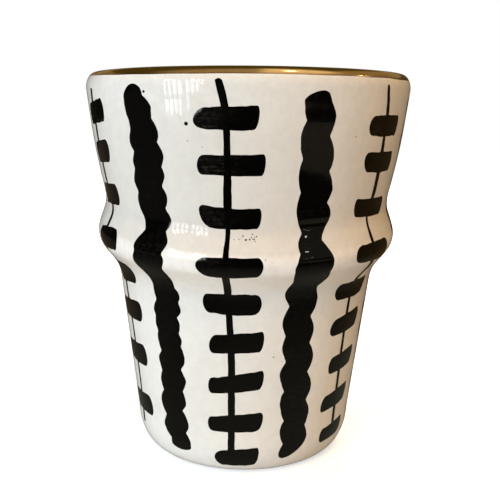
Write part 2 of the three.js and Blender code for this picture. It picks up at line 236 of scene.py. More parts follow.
# Stray drops of paint: height in mm, angle in degrees, width in mm, and how thin the paint is.
DROPS = np.array([
    (83.0, -18.8, 0.85, 0.0), (89.6, -33.3, 0.62, 0.0), (58.7, 0.4, 0.42, 0.3), (58.8, 1.7, 0.34, 0.4),
    (59.2, 2.2, 0.26, 0.4), (58.8, 3.2, 0.30, 0.4), (59.9, 2.6, 0.28, 0.5), (59.4, 4.0, 0.32, 0.4),
    (59.5, -0.6, 0.30, 0.5), (58.8, -2.0, 0.22, 0.8), (58.7, -3.6, 0.22, 0.8), (54.6, 6.9, 0.22, 0.8),
    (30.8, 13.3, 0.30, 0.6), (80.6, 37.4, 0.26, 0.7), (79.4, -18.6, 0.24, 0.9),
    (58.9, 2.7, 0.22, 0.3), (58.4, 3.6, 0.22, 0.4), (59.2, 3.3, 0.20, 0.3),
])

# Soft lamps: angle round the cup and over the horizon in degrees, and size in metres.
SOFT_LAMPS = (
    ("key", -35, 9, 0.34),
    ("left", -100, 9, 0.34),
    ("warm", 32, 62, 0.45),
    ("back", -178, 25, 0.55),
    ("overhead", 60, 80, 0.40),
)
# Small lamps: angle round the cup and over the horizon in degrees, width and height in metres, and
# radiance.
SPARKS = (
    (39, 60, 0.030, 0.025, 16.0),
    (88, 34, 0.012, 0.012, 60.0),
    (44.0, 20.5, 0.005, 0.005, 140.0),
    (42.1, 4.2, 0.003, 0.003, 90.0),
    (46.2, 4.6, 0.003, 0.003, 90.0),
)
# In metres: the height that all lamps stand round, how far from it the soft and the small ones stand, and
# the height that the soft ones are aimed at.
LAMP_CENTRE = 0.06
LAMP_DISTANCE = 0.80
SPARK_DISTANCE = 0.42
LAMP_TARGET = 0.055
# The width of the camera's sensor in mm. Half the floor's side in metres, and how far from the cup's axis
# its shadow starts to fade and has faded.
SENSOR = 36.0
FLOOR_HALF = 3.0
SHADOW_FADES = (0.07, 0.30)
# The tent: radius and height of the edge of its table, of the top of its wall and of its tip, in metres.
TENT_SIDES = 96
TENT_OUTLINE = ((0.62, 0.05 * MM), (0.62, 0.44), (0.0, 0.66))
# What the tent shows, each colour over those before it, in one place or in either of two. In each place all
# the rows hold at once: along an axis, or away from the cup, where it starts and where it is full, in
# metres, and how much it shows at both, if that isn't nothing and all.
CURTAIN_PARTS = (
    ("far_colour", [("x", -0.05, -0.11), ("z", 0.02, 0.005)]),
    ("rear_left_colour", [("x", -0.05, -0.11), ("z", 0.02, 0.005), ("y", 0.0, 0.06)]),
    ("side_colour", [("x", 0.04, 0.09), ("y", -0.04, 0.0)]),
    ("table_colour", [("away", 0.15, 0.035), ("x", -0.045, -0.010, 0.70, 1.0)]),
    ("wall_colour", [("x", 0.33, 0.40), ("y", -0.15, -0.22), ("z", 0.03, 0.045)]),
    ("top_colour", [("z", 0.40, 0.45)]),
    (
        "rear_glow",
        [("y", 0.10, 0.20), ("z", 0.28, 0.30), ("z", 0.45, 0.43)],
        [("x", 0.29, 0.36), ("z", 0.40, 0.45)],
    ),
    (
        "top_glow",
        [("x", -0.60, -0.40, 0.0, 0.33), ("y", 0.03, -0.26), ("z", 0.40, 0.45)],
        [("x", -0.01, 0.10), ("x", 0.33, 0.50, 1.0, 0.1), ("y", 0.02, -0.13), ("z", 0.40, 0.45)],
    ),
)
# The window: its direction in degrees and its distance, where its panes start, the step from one to the
# next, what the gap between its leaves adds, a pane's width, and where each row of panes starts and ends,
# in metres.
WINDOW_TURN = -41.0
WINDOW_OUT = 0.30
WINDOW_SEED = 31
PANES_START = -0.0715
PANE_PITCH = 0.0178
LEAF_GAP = 0.0085
PANE_WIDTH = 0.0118
PANE_FEET = (0.0225, 0.0350, 0.105)
PANE_TOPS = (0.0305, 0.096, 0.155)
# How far the panes' edges vary, in metres: their width, their feet under the bar, what the right leaf adds
# there, and the tops of the upper row. Then where the last panes over the bar start, and their step up.
WIDTH_VARIES = 0.004
FOOT_VARIES = 0.002
RIGHT_FOOT_VARIES = 0.005
TOP_VARIES = 0.014
LAST_PANES_FOOT = 0.036
LAST_PANES_STEP = 0.018
# The lit patch: its direction in degrees, its height, and how far out and to the right its corners lie, in
# metres.
PATCH_TURN = 48.0
PATCH_HEIGHT = 0.3 * MM
PATCH_CORNERS = ((0.215, -0.09), (0.222, 0.09), (0.30, 0.11), (0.40, 0.10), (0.37, -0.10), (0.29, -0.11))
# The rays that don't see what only gloss and metal mirror, so that it neither lights the cup nor shades it.
NOT_MIRRORED = ("camera", "diffuse", "transmission", "shadow", "volume_scatter")


def length(name, description, default):
    """A size in metres."""
    return FloatProperty(name=name, description=description, default=default, unit="LENGTH", precision=5)


def amount(name, description, default, most=1.0):
    """A plain number from nothing up to a most."""
    return FloatProperty(name=name, description=description, default=default, min=0.0, max=most)


def angle(name, description, degrees):
    """An angle whose default is given in degrees."""
    return FloatProperty(name=name, description=description, default=np.radians(degrees), unit="ROTATION")


def colour(name, description, default):
    """A linear colour."""
    return FloatVectorProperty(
        name=name, description=description, default=default, size=3, subtype="COLOR", min=0.0, max=1.0
    )


class CUP_PG_shape(PropertyGroup):
    """Sizes of the thrown pot."""

    rim_radius: length("Rim radius", "Outside radius at the foot of the lip", CLAY_HIGH.x)
    lip_top: length("Lip top", "Height of the lip over the table", LIP_TOP - 0.2 * MM)
    lip_height: length("Lip height", "How far the rounded lip rises over the straight wall", 3.5 * MM)
    throat_radius: length("Throat radius", "Outside radius where the wall swells under the mouth", 38.2 * MM)
    throat_height: length("Throat height", "Height of that swelling", 77.6 * MM)
    waist_radius: length("Waist radius", "Outside radius of the waist, before it is rounded", 35.3 * MM)
    waist_height: length("Waist height", "Height of the waist", 64.0 * MM)
    ring_radius: length("Ring radius", "Outside radius of the raised ring, before it is rounded", 38.4 * MM)
    ring_height: length("Ring height", "Height of the raised ring", 55.4 * MM)
    shoulder_radius: length("Shoulder radius", "Outside radius under the ring", 32.4 * MM)
    shoulder_height: length("Shoulder height", "Height where the wall turns out to the ring", 48.0 * MM)
    heel_radius: length("Heel radius", "Outside radius over the rounded heel", 27.6 * MM)
    heel_height: length("Heel height", "Height of the rounded heel", 9.8 * MM)
    foot_radius: length("Foot radius", "Outside radius of the ring that the cup stands on", 21.4 * MM)
    foot_width: length("Foot width", "Width of the ring that the cup stands on", 3.8 * MM)
    foot_recess: length("Foot recess", "Depth of the hollow inside that ring", 1.2 * MM)
    foot_slope: length("Foot slope", "How far the side of the hollow slopes in", 1.4 * MM)
    wall: length("Wall", "Thickness of the clay", 4.4 * MM)
    floor: length("Floor", "Thickness of the clay over the hollow in the foot", 5.2 * MM)
    shoulder_rounding: length("Shoulder rounding", "Radius that rounds the shoulder", 9.3 * MM)
    ring_rounding: length("Ring rounding", "Radius that rounds the ring", 6.3 * MM)
    waist_rounding: length("Waist rounding", "Radius that rounds the waist", 5.9 * MM)
    throat_rounding: length("Throat rounding", "Radius that rounds the throat", 105.0 * MM)
    inside_rounding: length("Inside rounding", "Radius in the corner of the floor inside", 9.0 * MM)
    foot_rounding: length("Foot rounding", "Radius on the edges of the foot ring", 0.5 * MM)
    softness: length("Softness", "How far the potter's fingers blur each change of curve", 1.0 * MM)
    ovality: length("Ovality", "How far the mouth is out of round", 0.15 * MM)
    ridge_depth: length("Ridge depth", "Height of the ridges left by throwing", 0.012 * MM)
    ridge_pitch: length("Ridge pitch", "Distance between those ridges", 4.6 * MM)
    rim_tilt: angle("Rim tilt", "How far the mouth is out of level", 0.55)
    ring_dip: length("Ring dip", "How much lower the ring runs in front than at its sides", 3.3 * MM)


class CUP_PG_brush(PropertyGroup):
    """Sizes of the brushwork and the gilding."""

    film: length("Film", "How far the paint stands over the glaze", 0.03 * MM)
    sunk: length("Sunk", "How far the paint reaches under the glaze", 0.12 * MM)
    waver: length("Waver", "How far a brush edge strays from a smooth line", 0.09 * MM)
    drift: length("Drift", "How far a repeated stroke strays up or down", 0.6 * MM)
    swing: angle("Swing", "How far a repeated stroke strays round the cup", 0.9)
    gold_film: length("Gold film", "How far the gold stands over the glaze", 0.018 * MM)
    gold_outside: length("Gold outside", "How far the gold reaches down the outside of the lip", 1.75 * MM)
    gold_inside: length("Gold inside", "How far the gold reaches down the inside of the lip", 2.3 * MM)
    gold_waver: length("Gold waver", "How far the gold's edges stray", 0.16 * MM)
    gold_scant: length("Gold scant", "How much less gold there is on the left than in front", 0.75 * MM)
    seed: IntProperty(name="Seed", description="Another number gives other strays of the brush", default=7)


class CUP_PG_finish(PropertyGroup):
    """Colours of the glaze, the paint, the gold and the bare clay."""

    glaze: colour("Glaze", "The off-white glaze", (0.735, 0.730, 0.690))
    # Painted light: the lighter glaze laid under the ring, at the heel and at the lip.
    glaze_painted_light: colour("Thick glaze", "The glaze where it has run down thick", (0.895, 0.905, 0.875))
    # Paler glaze for random thin patches, and a painted highlight on the ring's crest.
    glaze_thin_and_crest_light: colour("Thin glaze", "The glaze where it runs thin and shines paler", (0.90, 0.895, 0.86))
    # Greyer glaze for random clouding and mottling, and painted shade in hollows.
    glaze_mottled_and_shaded: colour("Pooled glaze", "The glaze where it pools and is mottled", (0.57, 0.56, 0.54))
    pinholes: colour("Pinholes", "The clay that shows through pinholes", (0.35, 0.27, 0.20))
    clay: colour("Clay", "The bare clay under the foot", (0.52, 0.36, 0.24))
    clay_dark: colour("Dark clay", "The darker grains of that clay", (0.40, 0.27, 0.18))
    paint: colour("Paint", "The black paint", (0.0008, 0.0008, 0.0008))
    paint_thin: colour("Thin paint", "The paint where the brush ran dry or thin", (0.032, 0.029, 0.024))
    gold: colour("Gold", "The gold lustre", (0.83, 0.52, 0.20))
    gold_thin: colour("Thin gold", "The lustre at its worn edges", (0.34, 0.19, 0.09))
    gold_faded: colour("Faded gold", "The lip at the sides, where the gold is rubbed off", (0.60, 0.50, 0.36))


class CUP_PG_stage(PropertyGroup):
    """The studio and the camera."""

    key_power: amount("Key power", "Power of the low soft lamp at the front left, in watts", 4.6, 100.0)
    key_colour: colour("Key colour", "Colour of that lamp", (0.73, 0.89, 1.0))
    left_power: amount("Left power", "Power of the lamp on the left, in watts", 1.8, 100.0)
    left_colour: colour("Left colour", "Colour of that lamp", (1.0, 0.92, 0.9))
    warm_power: amount("Warm power", "Power of the high lamp at the front right, in watts", 4.4, 100.0)
    warm_colour: colour("Warm colour", "Colour of that lamp", (1.0, 0.59, 0.25))
    back_power: amount("Back power", "Power of the lamp behind the cup, in watts", 3.2, 100.0)
    back_colour: colour("Back colour", "Colour of that lamp", (1.0, 0.95, 0.88))
    overhead_power: amount("Overhead power", "Power of the lamp over the cup, in watts", 1.6, 100.0)
    overhead_colour: colour("Overhead colour", "Colour of that lamp", (1.0, 0.91, 0.81))
    sparks: amount("Sparks", "Brightness of the small lamps that gold and gloss mirror", 1.0, 10.0)
    spark_colour: colour("Spark colour", "Colour of those lamps", (1.0, 0.93, 0.76))
    ambient: amount("Ambient", "Light that comes from everywhere", 0.05, 2.0)
    ambient_colour: colour("Ambient colour", "Colour of that light", (1.0, 0.68, 0.44))
    floor_colour: colour("Floor colour", "The floor, where light falls on it", (0.77, 0.775, 0.785))
    floor_glow: amount("Floor glow", "What whitens the floor near the cup for the camera", 0.6, 2.0)
    floor_tint: colour("Floor tint", "Colour of what whitens the floor", (0.97, 0.985, 1.0))
    curtain_colour: colour("Curtain colour", "The dark curtain, in gloss", (0.014, 0.012, 0.009))
    table_colour: colour("Table colour", "The table near the cup, in gloss", (0.165, 0.155, 0.115))
    side_colour: colour("Side colour", "What is brown on the right, in gloss", (0.09, 0.056, 0.02))
    far_colour: colour("Far colour", "The far end of the table on the left, in gloss", (0.055, 0.05, 0.045))
    rear_left_colour: colour("Rear left colour", "The table at the rear left, in gloss", (0.08, 0.062, 0.04))
    wall_colour: colour("Wall colour", "The lit wall at the front right, in gloss", (0.155, 0.14, 0.11))
    top_colour: colour("Top colour", "The top of the tent, in gold", (0.075, 0.062, 0.018))
    top_glow: colour("Top glow", "The lit top over the front, in gold", (0.98, 0.90, 0.78))
    rear_glow: colour("Rear glow", "The dim glow at the back and the right, in gold", (0.28, 0.23, 0.13))
    window_glow: amount("Window glow", "Brightness of the window, in gloss", 6.4, 20.0)
    window_colour: colour("Window colour", "Colour of that window", (0.88, 0.96, 1.0))
    patch_glow: amount("Patch glow", "Brightness of the patch of light on the table, in gloss", 0.24, 20.0)
    patch_colour: colour("Patch colour", "Colour of that patch", (1.0, 0.84, 0.62))
    camera_distance: length("Camera distance", "From the cup's axis to the camera", 197.8 * MM)
    camera_height: length("Camera height", "Height of the camera over the table", 84.2 * MM)
    camera_aside: length("Camera aside", "How far the camera stands to the right", 1.17 * MM)
    camera_down: angle("Camera down", "How far the camera looks down", 9.7)
    camera_roll: angle("Camera roll", "How far the camera is turned about its line of sight", 1.0)
    lens: FloatProperty(
        name="Lens", description="Focal length for a 36 mm sensor", default=55.4, unit="CAMERA"
    )


def smoothstep(low, high, x):
    """Nothing below low, one above high, and a smooth cubic between them."""
    t = np.clip((x - low) / (high - low), 0.0, 1.0)
    return t * t * (3.0 - 2.0 * t)


def smooth_noise(x, seed):
    """A wavy line between -1 and 1: seeded heights at whole numbers, joined by smooth cubic steps."""
    knots = np.random.default_rng(seed).uniform(-1.0, 1.0, NOISE_KNOTS)
    whole = np.floor(x).astype(int)
    t = smoothstep(0.0, 1.0, x - whole)
    return knots[whole % NOISE_KNOTS] * (1.0 - t) + knots[(whole + 1) % NOISE_KNOTS] * t


def round_noise(turn, lobes, seed):
    """A wavy line round the cup that meets itself: waves of 1 to lobes periods with seeded phases."""
    order = np.arange(1, lobes + 1)
    phase = np.random.default_rng(seed).uniform(0.0, TAU, lobes)
    waves = np.sin(turn[..., None] * order + phase) / np.sqrt(order)
    return waves.sum(axis=-1) / np.sqrt(lobes)


def crowded(count):
    """Steps from 0 to 1 that crowd towards both ends: t - 0.94 sin(2 pi t) / (2 pi)."""
    t = np.linspace(0.0, 1.0, count)
    return t - 0.94 * np.sin(TAU * t) / TAU


def flowing(x, knots, reach):
    """A line through knots, averaged with a bell curve so that it flows."""
    fine = np.linspace(knots[0, 0], knots[-1, 0], 600)
    order = np.argsort(knots[:, 0])
    line = np.interp(fine, knots[order, 0], knots[order, 1])
    weights = np.exp(-0.5 * ((x[:, None] - fine) / reach) ** 2)
    return (weights @ line) / weights.sum(axis=1)


def ending(distance, rounding):
    """One along a stroke, and a quarter ellipse down to nearly nothing over the rounding at its end."""
    t = np.clip(distance / rounding, 0.0, 1.0)
    return np.sqrt(np.clip(1.0 - (1.0 - t) ** 2, 0.0009, 1.0))


def unit(steps):
    """Steps in the same directions that are all one long."""
    return steps / np.linalg.norm(steps, axis=-1, keepdims=True)


def rounded_outline(corners, roundings):
    """Straight stretches through the corners, each corner replaced by an arc that touches both its sides.

    The arc's centre lies on the corner's bisector, at rounding over the sine of half the corner's angle.
    """
    pieces = [corners[:1]]
    for before, corner, after, rounding in zip(corners, corners[1:], corners[2:], roundings):
        back, onward = unit(before - corner), unit(after - corner)
        half = np.arccos(np.clip(back @ onward, -1.0, 1.0)) / 2.0
        centre = corner + unit(back + onward) * rounding / np.sin(half)
        reach = rounding / np.tan(half)
        start = corner + back * reach - centre
        end = corner + onward * reach - centre
        sweep = np.arctan2(start[0] * end[1] - start[1] * end[0], start @ end)
        turns = np.linspace(0.0, sweep, max(3, int(abs(sweep) / ARC_STEP)))[:, None]
        sideways = np.array([-start[1], start[0]])
        pieces.append(centre + start * np.cos(turns) + sideways * np.sin(turns))
    pieces.append(corners[-1:])
    return np.concatenate(pieces)


def evenly(outline, spacing):
    """The outline's points again, an even distance apart along it, and those distances."""
    run = np.concatenate([[0.0], np.cumsum(np.hypot(*np.diff(outline, axis=0).T))])
    at = np.linspace(0.0, run[-1], int(run[-1] / spacing) + 1)
    return np.stack([np.interp(at, run, outline[:, k]) for k in (0, 1)], axis=1), at


def softened(outline, spacing, blur):
    """The outline averaged along itself with a bell curve, so that its curvature changes without a jump."""
    reach = int(4 * blur / spacing)
    weights = np.exp(-0.5 * (np.arange(-reach, reach + 1) * spacing / blur) ** 2)
    weights /= weights.sum()
    before = 2 * outline[0] - outline[reach:0:-1]
    after = 2 * outline[-1] - outline[-2:-reach - 2:-1]
    padded = np.concatenate([before, outline, after])
    return np.stack([np.convolve(padded[:, k], weights, mode="valid") for k in (0, 1)], axis=1)


def crossing(first, second):
    """Where two straight lines meet, each given by a point and a direction."""
    (p, d), (q, e) = first, second
    distance = ((q - p)[0] * e[1] - (q - p)[1] * e[0]) / (d[0] * e[1] - d[1] * e[0])
    return p + d * distance


class Pot:
    """The pot's outline as radius and height, from the middle of its underside round to its floor inside.

    The outer wall's corners are joined by straight stretches and arcs. The inner wall is each of those
    stretches moved in by the clay's thickness. The heel and the lip are parts of ellipses. The outline is
    then softened, the wall more than the foot and the lip.
    """

    def __init__(self, shape):
        self.shape = s = shape
        self.lip_foot = s.lip_top - s.lip_height
        self.corners = np.array([
            (s.heel_radius, s.heel_height),
            (s.shoulder_radius, s.shoulder_height),
            (s.ring_radius, s.ring_height),
            (s.waist_radius, s.waist_height),
            (s.throat_radius, s.throat_height),
            (s.rim_radius, self.lip_foot),
        ])
        roundings = np.array([s.shoulder_rounding, s.ring_rounding, s.waist_rounding, s.throat_rounding])
        wall = rounded_outline(self.corners, roundings)[:-1]
        outline = np.concatenate([self.underside(), self.heel(), wall, self.lip(), self.inside(roundings)])
        points, self.run = evenly(outline, SPACING)
        soft, crisp = (softened(points, SPACING, blur) for blur in (s.softness, s.softness / 4))
        over_foot = smoothstep(2 * MM, 6 * MM, points[:, 1])
        under_lip = 1.0 - smoothstep(self.lip_foot - 3 * MM, self.lip_foot, points[:, 1])
        weight = (over_foot * under_lip)[:, None]
        self.points = soft * weight + crisp * (1.0 - weight)
        self.points[[0, -1], 0] = 0.0
        along = unit(np.gradient(self.points, axis=0))
        self.normals = np.stack([along[:, 1], -along[:, 0]], axis=1)
        self.turning = np.gradient(np.unwrap(np.arctan2(along[:, 1], along[:, 0])), self.run)
        top = np.argmax(self.points[:, 1])
        first = np.argmax(self.points[:, 0] > s.foot_radius - 0.3 * s.foot_width)
        self.outer = slice(first, top + 1)
        self.lip_run = self.run[top]

    def underside(self):
        """From the axis out to the foot ring, down its sloping side and across it, with rounded edges."""
        s = self.shape
        ring_inside = s.foot_radius - s.foot_width
        corners = np.array([
            (0.0, s.foot_recess),
            (ring_inside - s.foot_slope, s.foot_recess),
            (ring_inside, 0.0),
            (s.foot_radius, 0.0),
        ])
        return rounded_outline(corners, [s.foot_rounding] * 2)

    def heel(self):
        """A quarter ellipse from the edge of the foot up to the lower wall."""
        s = self.shape
        turns = np.linspace(0.0, np.pi / 2, 60)[1:-1]
        radius = s.foot_radius + (s.heel_radius - s.foot_radius) * np.sin(turns)
        return np.stack([radius, s.heel_height * (1.0 - np.cos(turns))], axis=1)

    def lip(self):
        """Half an ellipse over the wall's thickness, from the outer wall to the inner."""
        s = self.shape
        turns = np.linspace(0.0, np.pi, 90)
        radius = s.rim_radius - s.wall / 2 + s.wall / 2 * np.cos(turns)
        return np.stack([radius, self.lip_foot + s.lip_height * np.sin(turns)], axis=1)

    def inside(self, roundings):
        """The outer wall's stretches moved in by the clay's thickness, then the floor in to the axis."""
        s = self.shape
        along = unit(np.diff(self.corners, axis=0))
        inward = np.stack([-along[:, 1], along[:, 0]], axis=1)
        middle = np.array([0.0, s.foot_recess + s.floor])
        lines = [(middle, np.array([1.0, 0.0])), *zip(self.corners[:-1] + inward * s.wall, along)]
        meets = [crossing(a, b) for a, b in zip(lines, lines[1:])]
        corners = np.array([middle, *meets, (s.rim_radius - s.wall, self.lip_foot)])
        bulges = along[:-1, 0] * along[1:, 1] - along[:-1, 1] * along[1:, 0] > 0
        moved = np.maximum(roundings + np.where(bulges, -s.wall, s.wall), s.wall / 4)
        return rounded_outline(corners, [s.inside_rounding, *moved])[::-1][1:]

    def up(self, height):
        """The distance along the outline of a height on the outer wall."""
        return np.interp(height, self.points[self.outer, 1], self.run[self.outer])

    def radius(self, height):
        """The outer wall's radius at a height."""
        return np.interp(height, self.points[self.outer, 1], self.points[self.outer, 0])

    def stations(self):
        """Distances along the outline that crowd where it turns, without its two ends on the axis."""
        weight = np.cumsum(RINGS_PER_RUN + RINGS_PER_TURN * np.abs(self.turning))
        weight = (weight - weight[0]) / (weight[-1] - weight[0])
        return np.interp(np.linspace(0.0, 1.0, STATIONS)[1:-1], weight, self.run)

    def dip(self, height, turn):
        """How far the wall is moved down at a height, so that the ring runs low in front and high behind.

        It is a bell curve just under the waist, wider below than above, times the cosine of the turn to the
        power of 1.5 with its sign kept.
        """
        off = height - (self.shape.waist_height - 2 * MM)
        bell = np.exp(-(off / np.where(off < 0, DIP_BELOW, DIP_ABOVE)) ** 2)
        return self.shape.ring_dip * bell * np.cos(turn) * np.sqrt(np.abs(np.cos(turn)))

    def on_wall(self, height, turn, lift):
        """Points on the outer wall at true heights: the dip is added to them first, in a few steps."""
        before = height
        for _ in range(5):
            before = height + self.dip(before, turn)
        return self.place(self.up(before), turn, lift)

    def place(self, up, turn, lift):
        """Points at distances along the outline and angles round it, lifted off along the outline's normal.

        The potter's hand is then added, and fades towards the foot, which stands flat. The radius grows by
        the ovality times the cosine of twice the angle, and by ridges that are a sine of the height over
        their pitch plus the angle. The ring dips in front, and the mouth is lifted by the tilt times x.
        """
        s = self.shape
        radius, height = (
            np.interp(up, self.run, self.points[:, k]) + lift * np.interp(up, self.run, self.normals[:, k])
            for k in (0, 1)
        )
        risen = smoothstep(*UNROUND, height / s.lip_top) * smoothstep(0.0, UNROUND_RADIUS, radius)
        climb = TAU * height / s.ridge_pitch
        ridge = np.sin(climb + turn) * (0.6 + 0.4 * np.sin(3 * turn + climb / 6))
        radius = radius + risen * (s.ovality * np.cos(2 * (turn - WIDEST_TURN)) + s.ridge_depth * ridge)
        x = radius * np.sin(turn)
        level = smoothstep(*UNLEVEL, height / s.lip_top)
        z = height - self.dip(height, turn) + level * np.tan(s.rim_tilt) * x
        return np.stack([x, -radius * np.cos(turn), z], axis=-1)


def volume(vertices, triangles):
    """Six times the signed volume inside a closed surface, which is positive where its faces point out."""
    a, b, c = (vertices[triangles[:, k]] for k in (0, 1, 2))
    return np.einsum("ij,ij->", a, np.cross(b, c))


def closed_skin(points, uv, value, tips=None):
    """A closed surface from a grid of points whose second axis runs all the way round.

    With tips, each end of the first axis is closed by a fan of triangles about the point given for it.
    Without them, the first axis runs all the way round as well. The uv has one more row or column where it
    runs round.
    """
    rows, columns = points.shape[:2]
    steps = rows if tips is None else rows - 1
    i, j = np.meshgrid(np.arange(steps), np.arange(columns), indexing="ij")
    here, onward, right = i * columns, (i + 1) % rows * columns, (j + 1) % columns
    quads = np.stack([here + j, here + right, onward + right, onward + j], axis=-1).reshape(-1, 4)
    quad_uv = np.stack([uv[i, j], uv[i, j + 1], uv[i + 1, j + 1], uv[i + 1, j]], axis=-2).reshape(-1, 4, 2)
    vertices, values = points.reshape(-1, 3), value.ravel()
    fans, fan_uv = np.zeros((0, 3), dtype=int), np.zeros((0, 3, 2))
    if tips is not None:
        ring = np.arange(columns)
        after = (ring + 1) % columns
        last, total = (rows - 1) * columns, rows * columns
        near = np.stack([np.full(columns, total), after, ring], axis=1)
        far = np.stack([np.full(columns, total + 1), last + ring, last + after], axis=1)
        fans = np.concatenate([near, far])
        near_tip, far_tip = (np.broadcast_to(uv[k].mean(axis=0), (columns, 2)) for k in (0, -1))
        near_uv = np.stack([near_tip, uv[0, 1:], uv[0, :-1]], axis=1)
        far_uv = np.stack([far_tip, uv[-1, :-1], uv[-1, 1:]], axis=1)
        fan_uv = np.concatenate([near_uv, far_uv])
        vertices = np.concatenate([vertices, tips])
        values = np.concatenate([values, [value[0].mean(), value[-1].mean()]])
    triangles = np.concatenate([quads[:, :3], quads[:, [0, 2, 3]], fans])
    if volume(vertices - vertices.mean(axis=0), triangles) < 0:
        quads, quad_uv, fans, fan_uv = (part[:, ::-1] for part in (quads, quad_uv, fans, fan_uv))
    return vertices, quads, quad_uv, fans, fan_uv, values


def new_object(name, vertices, faces, material):
    """An object with a mesh of one material, in the scene, at the origin."""
    mesh = bpy.data.meshes.new(name)
    mesh.from_pydata(vertices, [], faces)
    mesh.materials.append(material)
    thing = bpy.data.objects.new(name, mesh)
    bpy.context.scene.collection.objects.link(thing)
    return thing


def piece_from(name, skins, material, value_name, replaced=()):
    """One piece made of closed skins, which rides on the cup's only body."""
    vertices, faces, uvs, values = [], [], [], []
    total = 0
    for points, quads, quad_uv, fans, fan_uv, value in skins:
        vertices.append(points)
        faces += (quads + total).tolist() + (fans + total).tolist()
        uvs += [quad_uv.reshape(-1, 2), fan_uv.reshape(-1, 2)]
        values.append(value)
        total += len(points)
    piece = new_object(name, np.concatenate(vertices), faces, material)
    mesh = piece.data
    layer = mesh.uv_layers.new(name="stroke")
    layer.data.foreach_set("uv", np.concatenate(uvs).astype(np.float32).ravel())
    carried = mesh.attributes.new(value_name, "FLOAT", "POINT")
    carried.data.foreach_set("value", np.concatenate(values).astype(np.float32))
    mesh.polygons.foreach_set("use_smooth", np.ones(len(mesh.polygons), dtype=bool))
    mesh.update()
    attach(piece, BODY)
    if replaced:
        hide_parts(*replaced)


def film(pot, brush, along, edges, upright, dry, seed, proud=0.0, drawn_upright=False):
    """A brushed stroke as a closed film that follows the wall.

    Along the stroke runs the angle round the cup, or the height if it is upright. Its low and high edge are
    given in the other direction. Across it, s goes from -1 at the low edge to 1 at the high one, and back
    underneath. The upper side stands over the glaze by the film times 1 - 0.85 s^6, and the underside lies
    under the glaze. The uv is the distance along the brush's path and across it, in centimetres, from a
    seeded start. A rung and each dab of a band are drawn round the cup, and a ladder's line is drawn
    upright.
    """
    low, high = edges
    top = np.sin(np.linspace(-0.5, 0.5, STROKE_ACROSS) * np.pi)
    s = np.concatenate([top, top[::-1]])
    upper = brush.film * (1.0 - EDGE_LOSS * top ** 6) + proud
    lift = np.concatenate([upper, np.full(STROKE_ACROSS, -brush.sunk)])
    across = (low + high)[:, None] / 2 + (high - low)[:, None] / 2 * s
    lengthways = np.broadcast_to(along[:, None], across.shape)
    height, turn = (lengthways, across) if upright else (across, lengthways)
    points = pot.on_wall(height, turn, lift)
    round_cup = turn * pot.radius(height)
    path = (height, round_cup) if drawn_upright else (round_cup, height)
    start = np.random.default_rng(seed).uniform(0.0, 40.0, 2)
    uv = np.stack(path, axis=-1) / CM + start
    uv = np.concatenate([uv, uv[:, :1]], axis=1)
    dryness = np.broadcast_to(dry[:, None], across.shape)
    return closed_skin(points, uv, dryness, points[[0, -1]].mean(axis=1))


def stray(brush, distance, wave, seed):
    """How far a brush edge strays: a wavy line with a knot at every wave, in mm, and a finer, lower one."""
    wave = wave * MM
    finer = smooth_noise(distance / (FINER_WAVE * wave), seed + 50)
    return brush.waver * (smooth_noise(distance / wave, seed) + FINER_HEIGHT * finer)


def shaped(distance, low, high, corners):
    """A stroke's two edges with its four corners rounded by lengths in mm.

    The corners go round from the high edge's start. Both edges are drawn towards a line between the
    stroke's two tips, by a quarter ellipse over each corner's rounding. A tip lies nearer to the sharper of
    its corners.
    """
    high_start, high_end, low_end, low_start = np.asarray(corners) * MM
    left = distance[-1] - distance
    tips = [high_start / (high_start + low_start), high_end / (high_end + low_end)]
    middle = high - np.interp(distance, [0.0, distance[-1]], tips) * (high - low)
    high = middle + (high - middle) * ending(distance, high_start) * ending(left, high_end)
    low = middle + (low - middle) * ending(distance, low_start) * ending(left, low_end)
    return low, high


def rung(pot, brush, numbers, dryness, seed, rows=RUNG_ROWS):
    """A short brushed bar between four rounded corners.

    Its upper and lower edges are straight from corner to corner, and bow out at the middle by a parabola.
    """
    left, right, high_left, high_right, low_left, low_right, crown, sag = numbers[:8]
    t = crowded(rows)
    turn = np.radians(left + (right - left) * t)
    middle = (high_left + high_right + low_left + low_right) / 4 * MM
    distance = (turn - turn[0]) * pot.radius(middle)
    arch = 4 * t * (1.0 - t)
    high = (high_left + (high_right - high_left) * t + crown * arch) * MM
    low = (low_left + (low_right - low_left) * t - sag * arch) * MM
    calm = ending(distance, 2 * MM) * ending(distance[-1] - distance, 2 * MM)
    high = high + calm * stray(brush, distance, 1.2, seed)
    low = low + calm * stray(brush, distance, 1.5, seed + 1)
    dry = dryness * (1.0 - smoothstep(0.1, 0.8, distance / distance[-1]))
    return film(pot, brush, turn, shaped(distance, low, high, numbers[8:]), False, dry, seed + 2)


def upright_line(pot, brush, knots, seed):
    """A ladder's thin line, which flows through its knots and swells and thins as they say."""
    height = np.interp(crowded(LINE_ROWS), [0.0, 1.0], [knots[0, 0], knots[-1, 0]])
    turn = np.radians(flowing(height, knots[:, [0, 1]], FLOW))
    width = flowing(height, knots[:, [0, 2]], FLOW) * MM
    height = height * MM
    distance = height[0] - height
    radius = pot.radius(height)
    low = turn - width / 2 / radius + stray(brush, distance, 1.3, seed + 1) / 2 / radius
    high = turn + width / 2 / radius + stray(brush, distance, 1.1, seed + 2) / 2 / radius
    edges = shaped(distance, low, high, LINE_CORNERS)
    return film(pot, brush, height, edges, True, np.zeros(LINE_ROWS), seed + 3, brush.film / 3, True)


